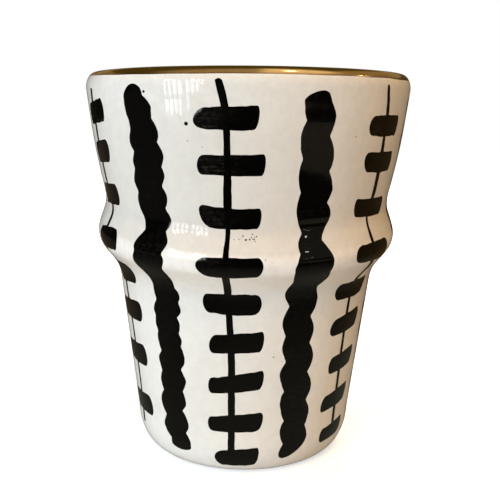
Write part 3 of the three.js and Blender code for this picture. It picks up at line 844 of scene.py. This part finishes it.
def scalloped(height, dabs):
    """The angle of an edge made of dabs that overlap, at each height.

    From where a dab stands out most to the notch on either side of it, the edge falls back by t^1.7, which
    leaves the notch sharp. Over a long way it falls back by a raised cosine, which leaves it soft.
    """
    knots = np.concatenate([dabs[:1, 2:], dabs[1:].reshape(-1, 2)])[::-1]
    is_notch = np.arange(len(knots)) % 2 == (len(knots) - 1) % 2
    k = np.clip(np.searchsorted(knots[:, 0], height) - 1, 0, len(knots) - 2)
    below, above = knots[k], knots[k + 1]
    t = np.clip((height - below[:, 0]) / (above[:, 0] - below[:, 0]), 0.0, 1.0)
    t = np.where(is_notch[k], 1.0 - t, t)
    crest = np.where(is_notch[k], above[:, 1], below[:, 1])
    notch = np.where(is_notch[k], below[:, 1], above[:, 1])
    soft = smoothstep(*SOFT_FALL, above[:, 0] - below[:, 0])
    fall = (1.0 - soft) * t ** 1.7 + soft * (1.0 - np.cos(np.pi * t)) / 2
    return crest + (notch - crest) * fall


def repeated(dabs, brush, rng, shift):
    """A repeated row of dabs, moved round the cup, each strayed a little from the first one."""
    drift = rng.uniform(-1.0, 1.0, len(dabs)) * brush.drift / MM * 0.5
    swing = rng.uniform(-1.0, 1.0, len(dabs)) * np.degrees(brush.swing)
    deeper = rng.uniform(-0.3, 0.3, len(dabs))
    return dabs + np.stack([drift, shift + swing, drift, shift + swing + deeper], axis=1)


def band(pot, brush, pattern, shift, seed):
    """A broad band of dabs, each laid over the last, from the lip down to the heel.

    Its two edges are the scalloped angles of its dabs on either side, and a brush edge's strays.
    """
    rng = np.random.default_rng(seed)
    left, right = pattern["left"], pattern["right"]
    if shift:
        left, right = (repeated(dabs, brush, rng, shift) for dabs in (left, right))
    top, bottom = pattern["span"]
    height = np.interp(crowded(BAND_ROWS), [0.0, 1.0], [top, bottom])
    distance = (top - height) * MM
    radius = pot.radius(height * MM)
    low = scalloped(height, left) + np.degrees(stray(brush, distance, 1.1, seed) / radius)
    high = scalloped(height, right) + np.degrees(stray(brush, distance, 1.3, seed + 1) / radius)
    edges = shaped(distance, np.radians(low), np.radians(high), pattern["corners"])
    dry = 0.25 * (0.5 + 0.5 * smooth_noise(distance / (5 * MM), seed + 3))
    return film(pot, brush, height * MM, edges, True, dry, seed + 2)


def gilding(pot, brush):
    """A thin film over the lip, closed round the cup and round its own section.

    Its section goes from the outer edge over the lip to the inner edge, and back underneath. Both edges
    stray round the cup by waves of seeded phases, and the outer one is drawn up on the left.
    """
    turn = np.linspace(0.0, TAU, GOLD_SIDES, endpoint=False)
    scant = brush.gold_scant * smoothstep(0.2, 1.1, 1.0 - np.cos(turn - 0.35))
    outer = brush.gold_outside - scant + brush.gold_waver * round_noise(turn, 26, brush.seed + 901)
    inner = brush.gold_inside + brush.gold_waver * round_noise(turn, 20, brush.seed + 902)
    begin = pot.up(pot.shape.lip_top - outer)
    end = 2 * pot.lip_run - pot.up(pot.shape.lip_top - inner)
    t = crowded(GOLD_ACROSS)
    s = np.concatenate([t, t[::-1]])
    edge = (2 * t - 1) ** 8
    lift = np.concatenate([brush.gold_film * (1.0 - EDGE_LOSS * edge), np.full(GOLD_ACROSS, -GOLD_SUNK)])
    up = begin[:, None] + (end - begin)[:, None] * s
    points = pot.place(up, turn[:, None], lift)
    worn = np.broadcast_to(np.concatenate([edge, edge]), up.shape)
    uv = np.stack(np.broadcast_arrays(turn[:, None] / TAU, s), axis=-1)
    uv = np.concatenate([uv, uv[:1] + (1.0, 0.0)])
    return closed_skin(points, np.concatenate([uv, uv[:, :1]], axis=1), worn)


class Nodes:
    """Adds nodes to a tree. An input given as a socket is linked, and any other is set."""

    def __init__(self, tree):
        self.tree = tree

    def feed(self, socket, value):
        """Links another socket to one, or sets it to a value."""
        if isinstance(value, bpy.types.NodeSocket):
            self.tree.links.new(value, socket)
        else:
            socket.default_value = value

    def add(self, kind, *values, put=None, **inputs):
        """A node with what is put on it, its first inputs by their order and others by their names."""
        node = self.tree.nodes.new("ShaderNode" + kind)
        for name, value in (put or {}).items():
            setattr(node, name, value)
        for socket, value in zip(node.inputs, values):
            self.feed(socket, value)
        for name, value in inputs.items():
            self.feed(node.inputs[name.replace("_", " ")], value)
        return node

    def math(self, operation, first, *others, clamp=False):
        """An operation on a row of values, from the left."""
        put = {"operation": operation, "use_clamp": clamp}
        for other in others:
            first = self.add("Math", first, other, put=put).outputs[0]
        return first

    def times(self, *values):
        """The product of some values."""
        return self.math("MULTIPLY", *values)

    def plus(self, *values, clamp=False):
        """The sum of some values, kept between nothing and one if it is clamped."""
        return self.math("ADD", *values, clamp=clamp)

    def blend(self, factor, a, b):
        """A colour between a, where the factor is nothing, and b, where it is one."""
        node = self.add("Mix", factor, put={"data_type": "RGBA"})
        self.feed(node.inputs[6], a)
        self.feed(node.inputs[7], b)
        return node.outputs[2]

    def ramp(self, value, low, high, bottom=0.0, top=1.0):
        """A smooth step from bottom at low to top at high."""
        smooth = {"interpolation_type": "SMOOTHSTEP"}
        return self.add("MapRange", value, low, high, bottom, top, put=smooth).outputs[0]

    def noise(self, vector, scale, detail=2.0, roughness=0.5):
        """Noise from nothing to one, with so many waves to a unit, and finer ones over them."""
        node = self.add("TexNoise", Vector=vector, Scale=scale, Detail=detail, Roughness=roughness)
        return node.outputs["Fac"]

    def place(self):
        """Where a point of the object is, in metres."""
        return self.add("TexCoord").outputs["Object"]

    def parts(self, vector):
        """The X, Y and Z of a vector."""
        return self.add("SeparateXYZ", vector).outputs

    def carried(self, name):
        """The values that a mesh carries at its points."""
        return self.add("Attribute", put={"attribute_name": name}).outputs["Fac"]

    def stroke(self):
        """The brush's path and the way across it."""
        return self.add("UVMap", put={"uv_map": "stroke"}).outputs["UV"]

    def stretched(self, vector, *scale):
        """A vector times a scale, for a pattern that is finer one way than another."""
        return self.add("Mapping", Vector=vector, Scale=scale).outputs["Vector"]


def rgba(value):
    """A colour with its alpha."""
    return (*value, 1.0)


def glaze_skin():
    """What every fired surface here shares: clouding, pinholes and the height of its ripples, in mm.

    Clouding is soft noise some centimetres across. Pinholes are the middles of a few scattered cells. The
    height is a slow wave some millimetres long plus orange peel under a millimetre, less the pinholes.
    """
    if "glaze_skin" in bpy.data.node_groups:
        return bpy.data.node_groups["glaze_skin"]
    tree = bpy.data.node_groups.new("glaze_skin", "ShaderNodeTree")
    sockets = {"INPUT": ("Wave", "Peel", "Pinhole size"), "OUTPUT": ("Clouding", "Pinholes", "Height")}
    for side, names in sockets.items():
        for name in names:
            tree.interface.new_socket(name, in_out=side, socket_type="NodeSocketFloat")
    start, end = (tree.nodes.new(kind) for kind in ("NodeGroupInput", "NodeGroupOutput"))
    n = Nodes(tree)
    place = n.place()
    cells = n.add("TexVoronoi", Vector=place, Scale=330.0)
    chosen = n.math("GREATER_THAN", n.add("SeparateColor", Color=cells.outputs["Color"]).outputs["Red"], 0.93)
    depth = n.math("SUBTRACT", start.outputs["Pinhole size"], cells.outputs["Distance"])
    pinholes = n.times(chosen, n.ramp(depth, 0.0, 0.08))
    wave = n.times(n.noise(place, 150.0, 1.0), start.outputs["Wave"])
    peel = n.times(n.noise(place, 1100.0, 2.0), start.outputs["Peel"])
    n.feed(end.inputs["Clouding"], n.noise(place, 55.0, 4.0, 0.55))
    n.feed(end.inputs["Pinholes"], pinholes)
    n.feed(end.inputs["Height"], n.math("SUBTRACT", n.plus(wave, peel), n.times(pinholes, 0.02)))
    return tree


def new_material(name):
    """A material with its Principled shader and a builder for its other nodes."""
    material = bpy.data.materials.new(name)
    material.use_nodes = True
    return material, material.node_tree.nodes["Principled BSDF"], Nodes(material.node_tree)


def skinned(n, wave, peel, pinhole_size):
    """What the shared glaze skin puts out for a material's own values."""
    return n.add("Group", wave, peel, pinhole_size, put={"node_tree": glaze_skin()}).outputs


def finish_surface(n, shader, tint, roughness, *heights):
    """Feeds a shader its colour, its roughness, and a normal from the sum of some heights in mm."""
    n.feed(shader.inputs["Base Color"], tint)
    n.feed(shader.inputs["Roughness"], roughness)
    bump = n.add("Bump", Height=n.plus(*heights), Distance=MM, Strength=1.0)
    n.feed(shader.inputs["Normal"], bump.outputs["Normal"])


def glaze_material(finish):
    """Off-white gloss that clouds softly and is finely mottled.

    It thins in patches, and is painted paler on the ring's crest as a highlight. It is painted lighter
    below the ring and at the heel, as light from the floor, and is lighter at the lip. In hollows it is
    painted greyer as shade, and it stops at the foot in a ragged edge over bare clay.
    """
    material, shader, n = new_material("cloudy_glaze")
    skin = skinned(n, 0.03, 0.0022, 0.10)
    place = n.place()
    hollow = n.carried("hollow")
    height = n.parts(place)["Z"]
    # Painted highlight: the ring's crest is mixed toward the paler glaze, as are random thin patches.
    crest = n.times(n.ramp(hollow, -0.25, -0.85), n.ramp(height, *OVER_RING))
    patches = n.ramp(n.noise(place, 38.0, 3.0, 0.6), 0.52, 0.78)
    thin = n.plus(n.times(crest, 0.95), n.times(patches, 0.30), clamp=True)
    coat = n.blend(thin, rgba(finish.glaze), rgba(finish.glaze_thin_and_crest_light))
    # Painted light: lighter glaze under the ring and at the heel, as if lit from the floor, and at the lip.
    places = ((UNDER_RING, 0.70), (AT_HEEL, 0.30), (AT_LIP, 0.30))
    thick = n.plus(*(n.ramp(height, *ends, 0.0, most) for ends, most in places))
    coat = n.blend(thick, coat, rgba(finish.glaze_painted_light))
    mottled = n.ramp(n.noise(place, 430.0, 4.0, 0.75), 0.34, 0.66, 0.0, 0.24)
    mottled = n.times(mottled, n.ramp(height, *UNDER_RING, 1.0, 0.55))
    # Painted shade: hollows are greyed, along with the random clouding and mottling.
    clouding_and_hollow_shade = n.plus(n.ramp(skin["Clouding"], 0.35, 0.7, 0.0, 0.12), n.ramp(hollow, 0.2, 0.9, 0.0, 0.22))
    coat = n.blend(n.plus(clouding_and_hollow_shade, mottled, clamp=True), coat, rgba(finish.glaze_mottled_and_shaded))
    coat = n.blend(n.times(skin["Pinholes"], 0.55), coat, rgba(finish.pinholes))
    ragged = n.times(n.math("SUBTRACT", n.noise(place, 420.0, 3.0), 0.5), 0.5 * MM)
    bare = n.ramp(n.plus(height, ragged), 0.38 * MM, 0.30 * MM)
    grit = n.noise(place, 2600.0, 3.0, 0.7)
    clay = n.blend(n.ramp(grit, 0.35, 0.7), rgba(finish.clay), rgba(finish.clay_dark))
    rough = n.plus(n.ramp(skin["Clouding"], 0.3, 0.75, 0.035, 0.075), n.times(bare, 0.72))
    finish_surface(n, shader, n.blend(bare, coat, clay), rough, skin["Height"], n.times(grit, bare, 0.05))
    return material


def paint_material(finish):
    """Black brushed paint under the same gloss, with bristle streaks, and greyer where the brush ran dry."""
    if "brushed_black" in bpy.data.materials:
        return bpy.data.materials["brushed_black"]
    material, shader, n = new_material("brushed_black")
    skin = skinned(n, 0.012, 0.0009, 0.0)
    path = n.stroke()
    streaks = n.noise(n.stretched(path, 1.1, 26.0, 1.0), 1.0, 4.0, 0.65)
    blots = n.noise(path, 9.0, 3.0, 0.6)
    starved = n.times(n.ramp(streaks, 0.42, 0.66), n.ramp(blots, 0.40, 0.58))
    thin = n.plus(n.times(n.carried("dry"), starved), n.times(n.ramp(blots, 0.45, 0.9), 0.05))
    black = n.blend(thin, rgba(finish.paint), rgba(finish.paint_thin))
    rough = n.ramp(streaks, 0.3, 0.8, 0.045, 0.11)
    finish_surface(n, shader, black, rough, skin["Height"], n.times(streaks, 0.003))
    return material


def gold_material(finish):
    """Fired gold lustre: bright where it lies thick, browner and duller where it wears thin at its edges.

    On both sides of the cup it is rubbed away to the glaze.
    """
    material, shader, n = new_material("fired_gold")
    skin = skinned(n, 0.012, 0.0016, 0.0)
    place = n.place()
    mottled = n.ramp(n.noise(place, 260.0, 4.0, 0.6), 0.45, 0.8)
    thin = n.plus(n.carried("worn"), n.times(mottled, 0.35), clamp=True)
    aside = n.parts(place)["X"]
    faded = n.plus(n.ramp(aside, *RUBBED_LEFT, 0.0, 0.8), n.ramp(aside, *RUBBED_RIGHT, 0.0, 0.5))
    metal = n.blend(thin, rgba(finish.gold), rgba(finish.gold_thin))
    n.feed(shader.inputs["Metallic"], n.math("SUBTRACT", 1.0, faded))
    brushed = n.times(n.noise(n.stretched(n.stroke(), 60.0, 30.0, 1.0), 1.0, 3.0), 0.004)
    gold = n.blend(faded, metal, rgba(finish.gold_faded))
    finish_surface(n, shader, gold, n.ramp(thin, 0.0, 1.0, 0.11, 0.26), skin["Height"], brushed)
    return material


def painting(context):
    """What every painted piece needs: the pot, the brush and the paint."""
    scene = context.scene
    return Pot(scene.cup_shape), scene.cup_brush, paint_material(scene.cup_finish)


class CUP_OT_throw_body(Operator):
    """Throw the pot: its glazed wall, lip, floor and foot in one closed surface of revolution"""

    bl_idname = "cup.throw_body"
    bl_label = "Throw Body"

    def execute(self, context):
        pot = Pot(context.scene.cup_shape)
        station = pot.stations()
        points = pot.place(station[:, None], np.linspace(0.0, TAU, SIDES, endpoint=False), 0.0)
        hollow = np.clip(-np.interp(station, pot.run, pot.turning) * FULL_HOLLOW, -1.0, 1.0)
        around = np.linspace(0.0, 1.0, SIDES + 1)
        uv = np.stack(np.broadcast_arrays(around, (station / pot.run[-1])[:, None]), axis=-1)
        tips = pot.place(pot.run[[0, -1]], np.zeros(2), 0.0)
        skin = closed_skin(points, uv, np.broadcast_to(hollow[:, None], points.shape[:2]), tips)
        material = glaze_material(context.scene.cup_finish)
        piece_from("glazed_body", [skin], material, "hollow", ["cup_body"])
        return {"FINISHED"}


class CUP_OT_paint_ladders(Operator):
    """Paint six ladders: an upright line each, and eight or nine short bars across it"""

    bl_idname = "cup.paint_ladders"
    bl_label = "Paint Ladders"

    def execute(self, context):
        pot, brush, paint = painting(context)
        for number, (rungs, line, shift) in enumerate(LADDERS, start=1):
            seed = brush.seed + 1000 * number
            rng = np.random.default_rng(seed)
            bars = rungs.copy()
            if shift:
                bars[:, :2] += rng.uniform(-1.0, 1.0, (len(bars), 2)) * np.degrees(brush.swing)
                bars[:, 2:6] += rng.uniform(-1.0, 1.0, (len(bars), 1)) * brush.drift / MM
                bars[:, [3, 5]] += rng.uniform(-0.4, 0.4, (len(bars), 1))
            bars[:, :2] += shift
            dryness = rng.uniform(0.4, 1.0, len(bars)) * smoothstep(40.0, 80.0, bars[:, 2])
            strokes = enumerate(zip(bars, dryness))
            skins = [rung(pot, brush, bar, dry, seed + 10 * k) for k, (bar, dry) in strokes]
            skins.append(upright_line(pot, brush, line + (0.0, shift, 0.0), seed + 500))
            replaced = [f"ladder_stripe_{number}"]
            piece_from(f"painted_ladder_{number}", skins, paint, "dry", replaced)
        return {"FINISHED"}


class CUP_OT_paint_bands(Operator):
    """Paint six broad bands of overlapping dabs between the ladders"""

    bl_idname = "cup.paint_bands"
    bl_label = "Paint Bands"

    def execute(self, context):
        pot, brush, paint = painting(context)
        for number, (pattern, shift) in enumerate(BANDS, start=1):
            skins = [band(pot, brush, pattern, shift, brush.seed + 1000 * number + 700)]
            replaced = [f"scalloped_stripe_{number}"]
            piece_from(f"painted_band_{number}", skins, paint, "dry", replaced)
        return {"FINISHED"}


class CUP_OT_flick_drops(Operator):
    """Flick the stray drops of paint that the brush left on the glaze"""

    bl_idname = "cup.flick_drops"
    bl_label = "Flick Drops"

    def execute(self, context):
        pot, brush, paint = painting(context)
        skins = []
        for k, (height, turn, width, thinness) in enumerate(DROPS):
            half = np.degrees(width / 2 * MM / pot.radius(height * MM))
            above, below = height + width / 2, height - width / 2
            corners = [width / 2] * 4
            numbers = np.array([turn - half, turn + half, above, above, below, below, 0.0, 0.0, *corners])
            skins.append(rung(pot, brush, numbers, thinness, brush.seed + 9000 + 10 * k, DROP_ROWS))
        piece_from("paint_drops", skins, paint, "dry")
        return {"FINISHED"}


class CUP_OT_gild_lip(Operator):
    """Gild the lip with a thin film of lustre whose edges waver round the cup"""

    bl_idname = "cup.gild_lip"
    bl_label = "Gild Lip"

    def execute(self, context):
        skin = gilding(Pot(context.scene.cup_shape), context.scene.cup_brush)
        material = gold_material(context.scene.cup_finish)
        piece_from("gilded_lip", [skin], material, "worn", ["gold_rim"])
        return {"FINISHED"}


def hide(thing, rays):
    """Hides a thing from some kinds of ray."""
    for kind in rays:
        setattr(thing, f"visible_{kind}", False)


def stage_mesh(name, places, faces, material, hidden_from):
    """A plain mesh of the studio from the x, y and z of its corners."""
    corners = np.stack(np.broadcast_arrays(*places), axis=-1).reshape(-1, 3)
    thing = new_object(name, corners, faces, material)
    hide(thing, hidden_from)


def unlit_material(name):
    """A material without a shader, which isn't sampled as a lamp, and a builder for its nodes."""
    material, shader, n = new_material(name)
    n.tree.nodes.remove(shader)
    material.cycles.emission_sampling = "NONE"
    return material, n


def glow(n, tint, strength, *others):
    """Feeds a material's surface a glow, added to any other shaders."""
    surface = n.add("Emission", tint, strength).outputs[0]
    for other in others:
        surface = n.add("AddShader", other, surface).outputs[0]
    n.feed(n.tree.nodes["Material Output"].inputs["Surface"], surface)


def seen_white(n):
    """One for rays that see the background: off gloss, through glass, and from the camera."""
    rays = n.add("LightPath").outputs
    return n.math("MAXIMUM", *(rays[f"Is {kind} Ray"] for kind in ("Glossy", "Transmission", "Camera")))


def away(n):
    """The distance from the cup's axis, in metres."""
    flat = n.add("VectorMath", n.place(), (1.0, 1.0, 0.0), put={"operation": "MULTIPLY"}).outputs[0]
    return n.add("VectorMath", flat, put={"operation": "LENGTH"}).outputs["Value"]


def add_floor(stage):
    """A wide pale floor, whitened for rays that see the background, and less so where the cup's shadow lies.

    Gloss doesn't mirror it, but the curtain's table.
    """
    material, n = unlit_material("floor")
    lit = n.add("BsdfDiffuse", rgba(stage.floor_colour)).outputs[0]
    strength = n.times(seen_white(n), n.ramp(away(n), *SHADOW_FADES, stage.floor_glow, 1.0))
    glow(n, rgba(stage.floor_tint), strength, lit)
    x = np.array([-1.0, 1.0, 1.0, -1.0]) * FLOOR_HALF
    y = np.array([-1.0, -1.0, 1.0, 1.0]) * FLOOR_HALF
    stage_mesh("floor", (x, y, 0.0), [(0, 1, 2, 3)], material, ["glossy"])


def add_curtain(stage):
    """A dark tent round the set, as a photographer flags a white studio: a table, a wall and a sloping top.

    Only gloss and metal show it: black strokes stay black, and edges read against white. Its colours are
    laid over one another as CURTAIN_PARTS says: the table is paler near the cup, and the top is lit in
    front.
    """
    material, n = unlit_material("curtain")
    along = dict(zip("xyz", n.parts(n.place())), away=away(n))
    seen = rgba(stage.curtain_colour)
    for name, *places in CURTAIN_PARTS:
        masks = [n.times(*(n.ramp(along[key], *numbers) for key, *numbers in place)) for place in places]
        seen = n.blend(n.math("MAXIMUM", *masks), seen, rgba(getattr(stage, name)))
    glow(n, seen, 1.0)
    k = np.arange(TENT_SIDES)
    turn = k * TAU / TENT_SIDES
    radii, heights = np.array(TENT_OUTLINE).T[..., None]
    onward = (k + 1) % TENT_SIDES
    wall = np.stack([k, onward, onward + TENT_SIDES, k + TENT_SIDES], axis=1)
    faces = [tuple(range(TENT_SIDES)), *wall.tolist(), *(wall + TENT_SIDES).tolist()]
    places = (radii * np.sin(turn), -radii * np.cos(turn), heights)
    stage_mesh("curtain", places, faces, material, NOT_MIRRORED)


def towards(turn, out, side):
    """The x and y of places at a distance out towards an angle round the cup, and to the right of there."""
    turn = np.radians(turn)
    return out * np.sin(turn) + side * np.cos(turn), side * np.sin(turn) - out * np.cos(turn)


def add_window(stage):
    """A window at the front left in panes, which the glaze mirrors under the lip and on the ring.

    Two leaves of four narrow panes stand side by side, in two rows, over a bar. Under the bar the left leaf
    and one pane of the right go on. The panes' edges differ a little, as things outside cut into them, and
    the last two over the bar start higher.
    """
    column, row = (a.ravel() for a in np.meshgrid(np.arange(8), np.arange(3), indexing="ij"))
    shown = (row > 0) | (column < 5)
    column, row = column[shown], row[shown]
    uneven = smooth_noise(column * 1.7 + row * 5.3, WINDOW_SEED)
    left = PANES_START + column * PANE_PITCH + (column // 4) * LEAF_GAP
    right = left + PANE_WIDTH + WIDTH_VARIES * uneven
    raised = np.where(row == 0, FOOT_VARIES + RIGHT_FOOT_VARIES * (column > 3), 0.0)
    low = np.array(PANE_FEET)[row] + raised * (1 + uneven)
    low = np.where((row == 1) & (column > 5), LAST_PANES_FOOT + LAST_PANES_STEP * (column - 6), low)
    high = np.array(PANE_TOPS)[row] + np.where(row == 2, TOP_VARIES, 0.0) * uneven
    across = np.stack([left, right, right, left], axis=1)
    height = np.stack([low, low, high, high], axis=1)
    material, n = unlit_material("window")
    glow(n, rgba(stage.window_colour), stage.window_glow)
    faces = np.arange(height.size).reshape(-1, 4).tolist()
    places = (*towards(WINDOW_TURN, WINDOW_OUT, across), height)
    stage_mesh("window", places, faces, material, NOT_MIRRORED)


def add_lit_patch(stage):
    """A dim warm patch of light on the table at the front right, which the black band there mirrors."""
    material, n = unlit_material("lit_patch")
    glow(n, rgba(stage.patch_colour), stage.patch_glow)
    out, side = np.array(PATCH_CORNERS).T
    places = (*towards(PATCH_TURN, out, side), PATCH_HEIGHT)
    stage_mesh("lit_patch", places, [tuple(range(len(out)))], material, NOT_MIRRORED)


def add_lamp(name, turn, rise, distance, target, size, power, tint, hidden_from):
    """A flat lamp at an angle round the cup, an angle over the horizon and a distance from its middle.

    It is aimed at a height on the axis, and hidden from some kinds of ray.
    """
    turn, rise = np.radians(turn), np.radians(rise)
    flat = distance * np.cos(rise)
    place = Vector((flat * np.sin(turn), -flat * np.cos(turn), LAMP_CENTRE + distance * np.sin(rise)))
    light = bpy.data.lights.new(name, "AREA")
    light.shape = "RECTANGLE"
    light.size, light.size_y = size
    light.energy, light.color = power, tint
    lamp = bpy.data.objects.new(name, light)
    lamp.location = place
    lamp.rotation_euler = (Vector((0.0, 0.0, target)) - place).to_track_quat("-Z", "Y").to_euler()
    bpy.context.scene.collection.objects.link(lamp)
    hide(lamp, hidden_from)


def add_lamps(stage):
    """The soft lamps, too soft to be mirrored as shapes, and the sparks, which only gold and gloss mirror.

    A spark's power is its radiance times pi and its area.
    """
    for name, turn, rise, size in SOFT_LAMPS:
        power, tint = getattr(stage, name + "_power"), getattr(stage, name + "_colour")
        hidden = ["glossy", "camera"]
        add_lamp(name, turn, rise, LAMP_DISTANCE, LAMP_TARGET, (size, size), power, tint, hidden)
    for k, (turn, rise, width, height, radiance) in enumerate(SPARKS, start=1):
        power, tint = radiance * stage.sparks * np.pi * width * height, stage.spark_colour
        hidden = ["camera", "diffuse"]
        name = f"spark_{k}"
        add_lamp(name, turn, rise, SPARK_DISTANCE, LAMP_CENTRE, (width, height), power, tint, hidden)


def light_world(stage):
    """White where the background is seen, and an even dim light on the object."""
    world = bpy.data.worlds.new("studio")
    world.use_nodes = True
    n = Nodes(world.node_tree)
    ambient = rgba(np.array(stage.ambient_colour) * stage.ambient)
    n.feed(world.node_tree.nodes["Background"].inputs["Color"], n.blend(seen_white(n), ambient, rgba(WHITE)))
    bpy.context.scene.world = world


def add_camera(stage):
    """The photograph's camera: a little lower than the lip, looking down, and turned slightly on its axis."""
    data = bpy.data.cameras.new("camera")
    data.lens = stage.lens
    data.sensor_width = SENSOR
    data.clip_start = 5 * MM
    camera = bpy.data.objects.new("camera", data)
    camera.location = (stage.camera_aside, -stage.camera_distance, stage.camera_height)
    pitched = Euler((np.pi / 2 - stage.camera_down, 0.0, 0.0)).to_matrix()
    camera.rotation_euler = (pitched @ Matrix.Rotation(stage.camera_roll, 3, "Z")).to_euler()
    bpy.context.scene.collection.objects.link(camera)
    bpy.context.scene.camera = camera


class CUP_OT_set_stage(Operator):
    """Set the stage: a pale floor, soft lamps, the dim curtain that gloss mirrors, and the camera"""

    bl_idname = "cup.set_stage"
    bl_label = "Set Stage"

    def execute(self, context):
        for add in (add_floor, add_curtain, add_window, add_lit_patch, add_lamps, light_world, add_camera):
            add(context.scene.cup_stage)
        context.scene.view_settings.view_transform = "Standard"
        return {"FINISHED"}


STEPS = (
    CUP_OT_throw_body,
    CUP_OT_paint_ladders,
    CUP_OT_paint_bands,
    CUP_OT_flick_drops,
    CUP_OT_gild_lip,
    CUP_OT_set_stage,
)
SETTINGS = (
    ("cup_shape", CUP_PG_shape),
    ("cup_brush", CUP_PG_brush),
    ("cup_finish", CUP_PG_finish),
    ("cup_stage", CUP_PG_stage),
)


class CUP_PT_panel(Panel):
    """Lists the cup's settings and the steps that build it"""

    bl_idname = "CUP_PT_panel"
    bl_label = "Painted Pottery Cup"
    bl_space_type = "VIEW_3D"
    bl_region_type = "UI"
    bl_category = "Cup"

    def draw(self, context):
        for step in STEPS:
            self.layout.operator(step.bl_idname)
        for name, group in SETTINGS:
            box = self.layout.box()
            box.label(text=name.replace("_", " ").capitalize())
            settings = getattr(context.scene, name)
            for field in group.__annotations__:
                box.prop(settings, field)


CLASSES = (*(group for _, group in SETTINGS), *STEPS, CUP_PT_panel)


def register():
    """Registers the classes, and gives each scene its settings."""
    for cls in CLASSES:
        bpy.utils.register_class(cls)
    for name, group in SETTINGS:
        setattr(bpy.types.Scene, name, PointerProperty(type=group))


def unregister():
    """Takes the settings off the scenes, and the classes out."""
    for name, _ in SETTINGS:
        delattr(bpy.types.Scene, name)
    for cls in reversed(CLASSES):
        bpy.utils.unregister_class(cls)


def main():
    """Registers the add-on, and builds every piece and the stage."""
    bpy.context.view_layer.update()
    register()
    bpy.ops.cup.throw_body()
    bpy.ops.cup.paint_ladders()
    bpy.ops.cup.paint_bands()
    bpy.ops.cup.flick_drops()
    bpy.ops.cup.gild_lip()
    bpy.ops.cup.set_stage()


if __name__ == "__main__":
    main()
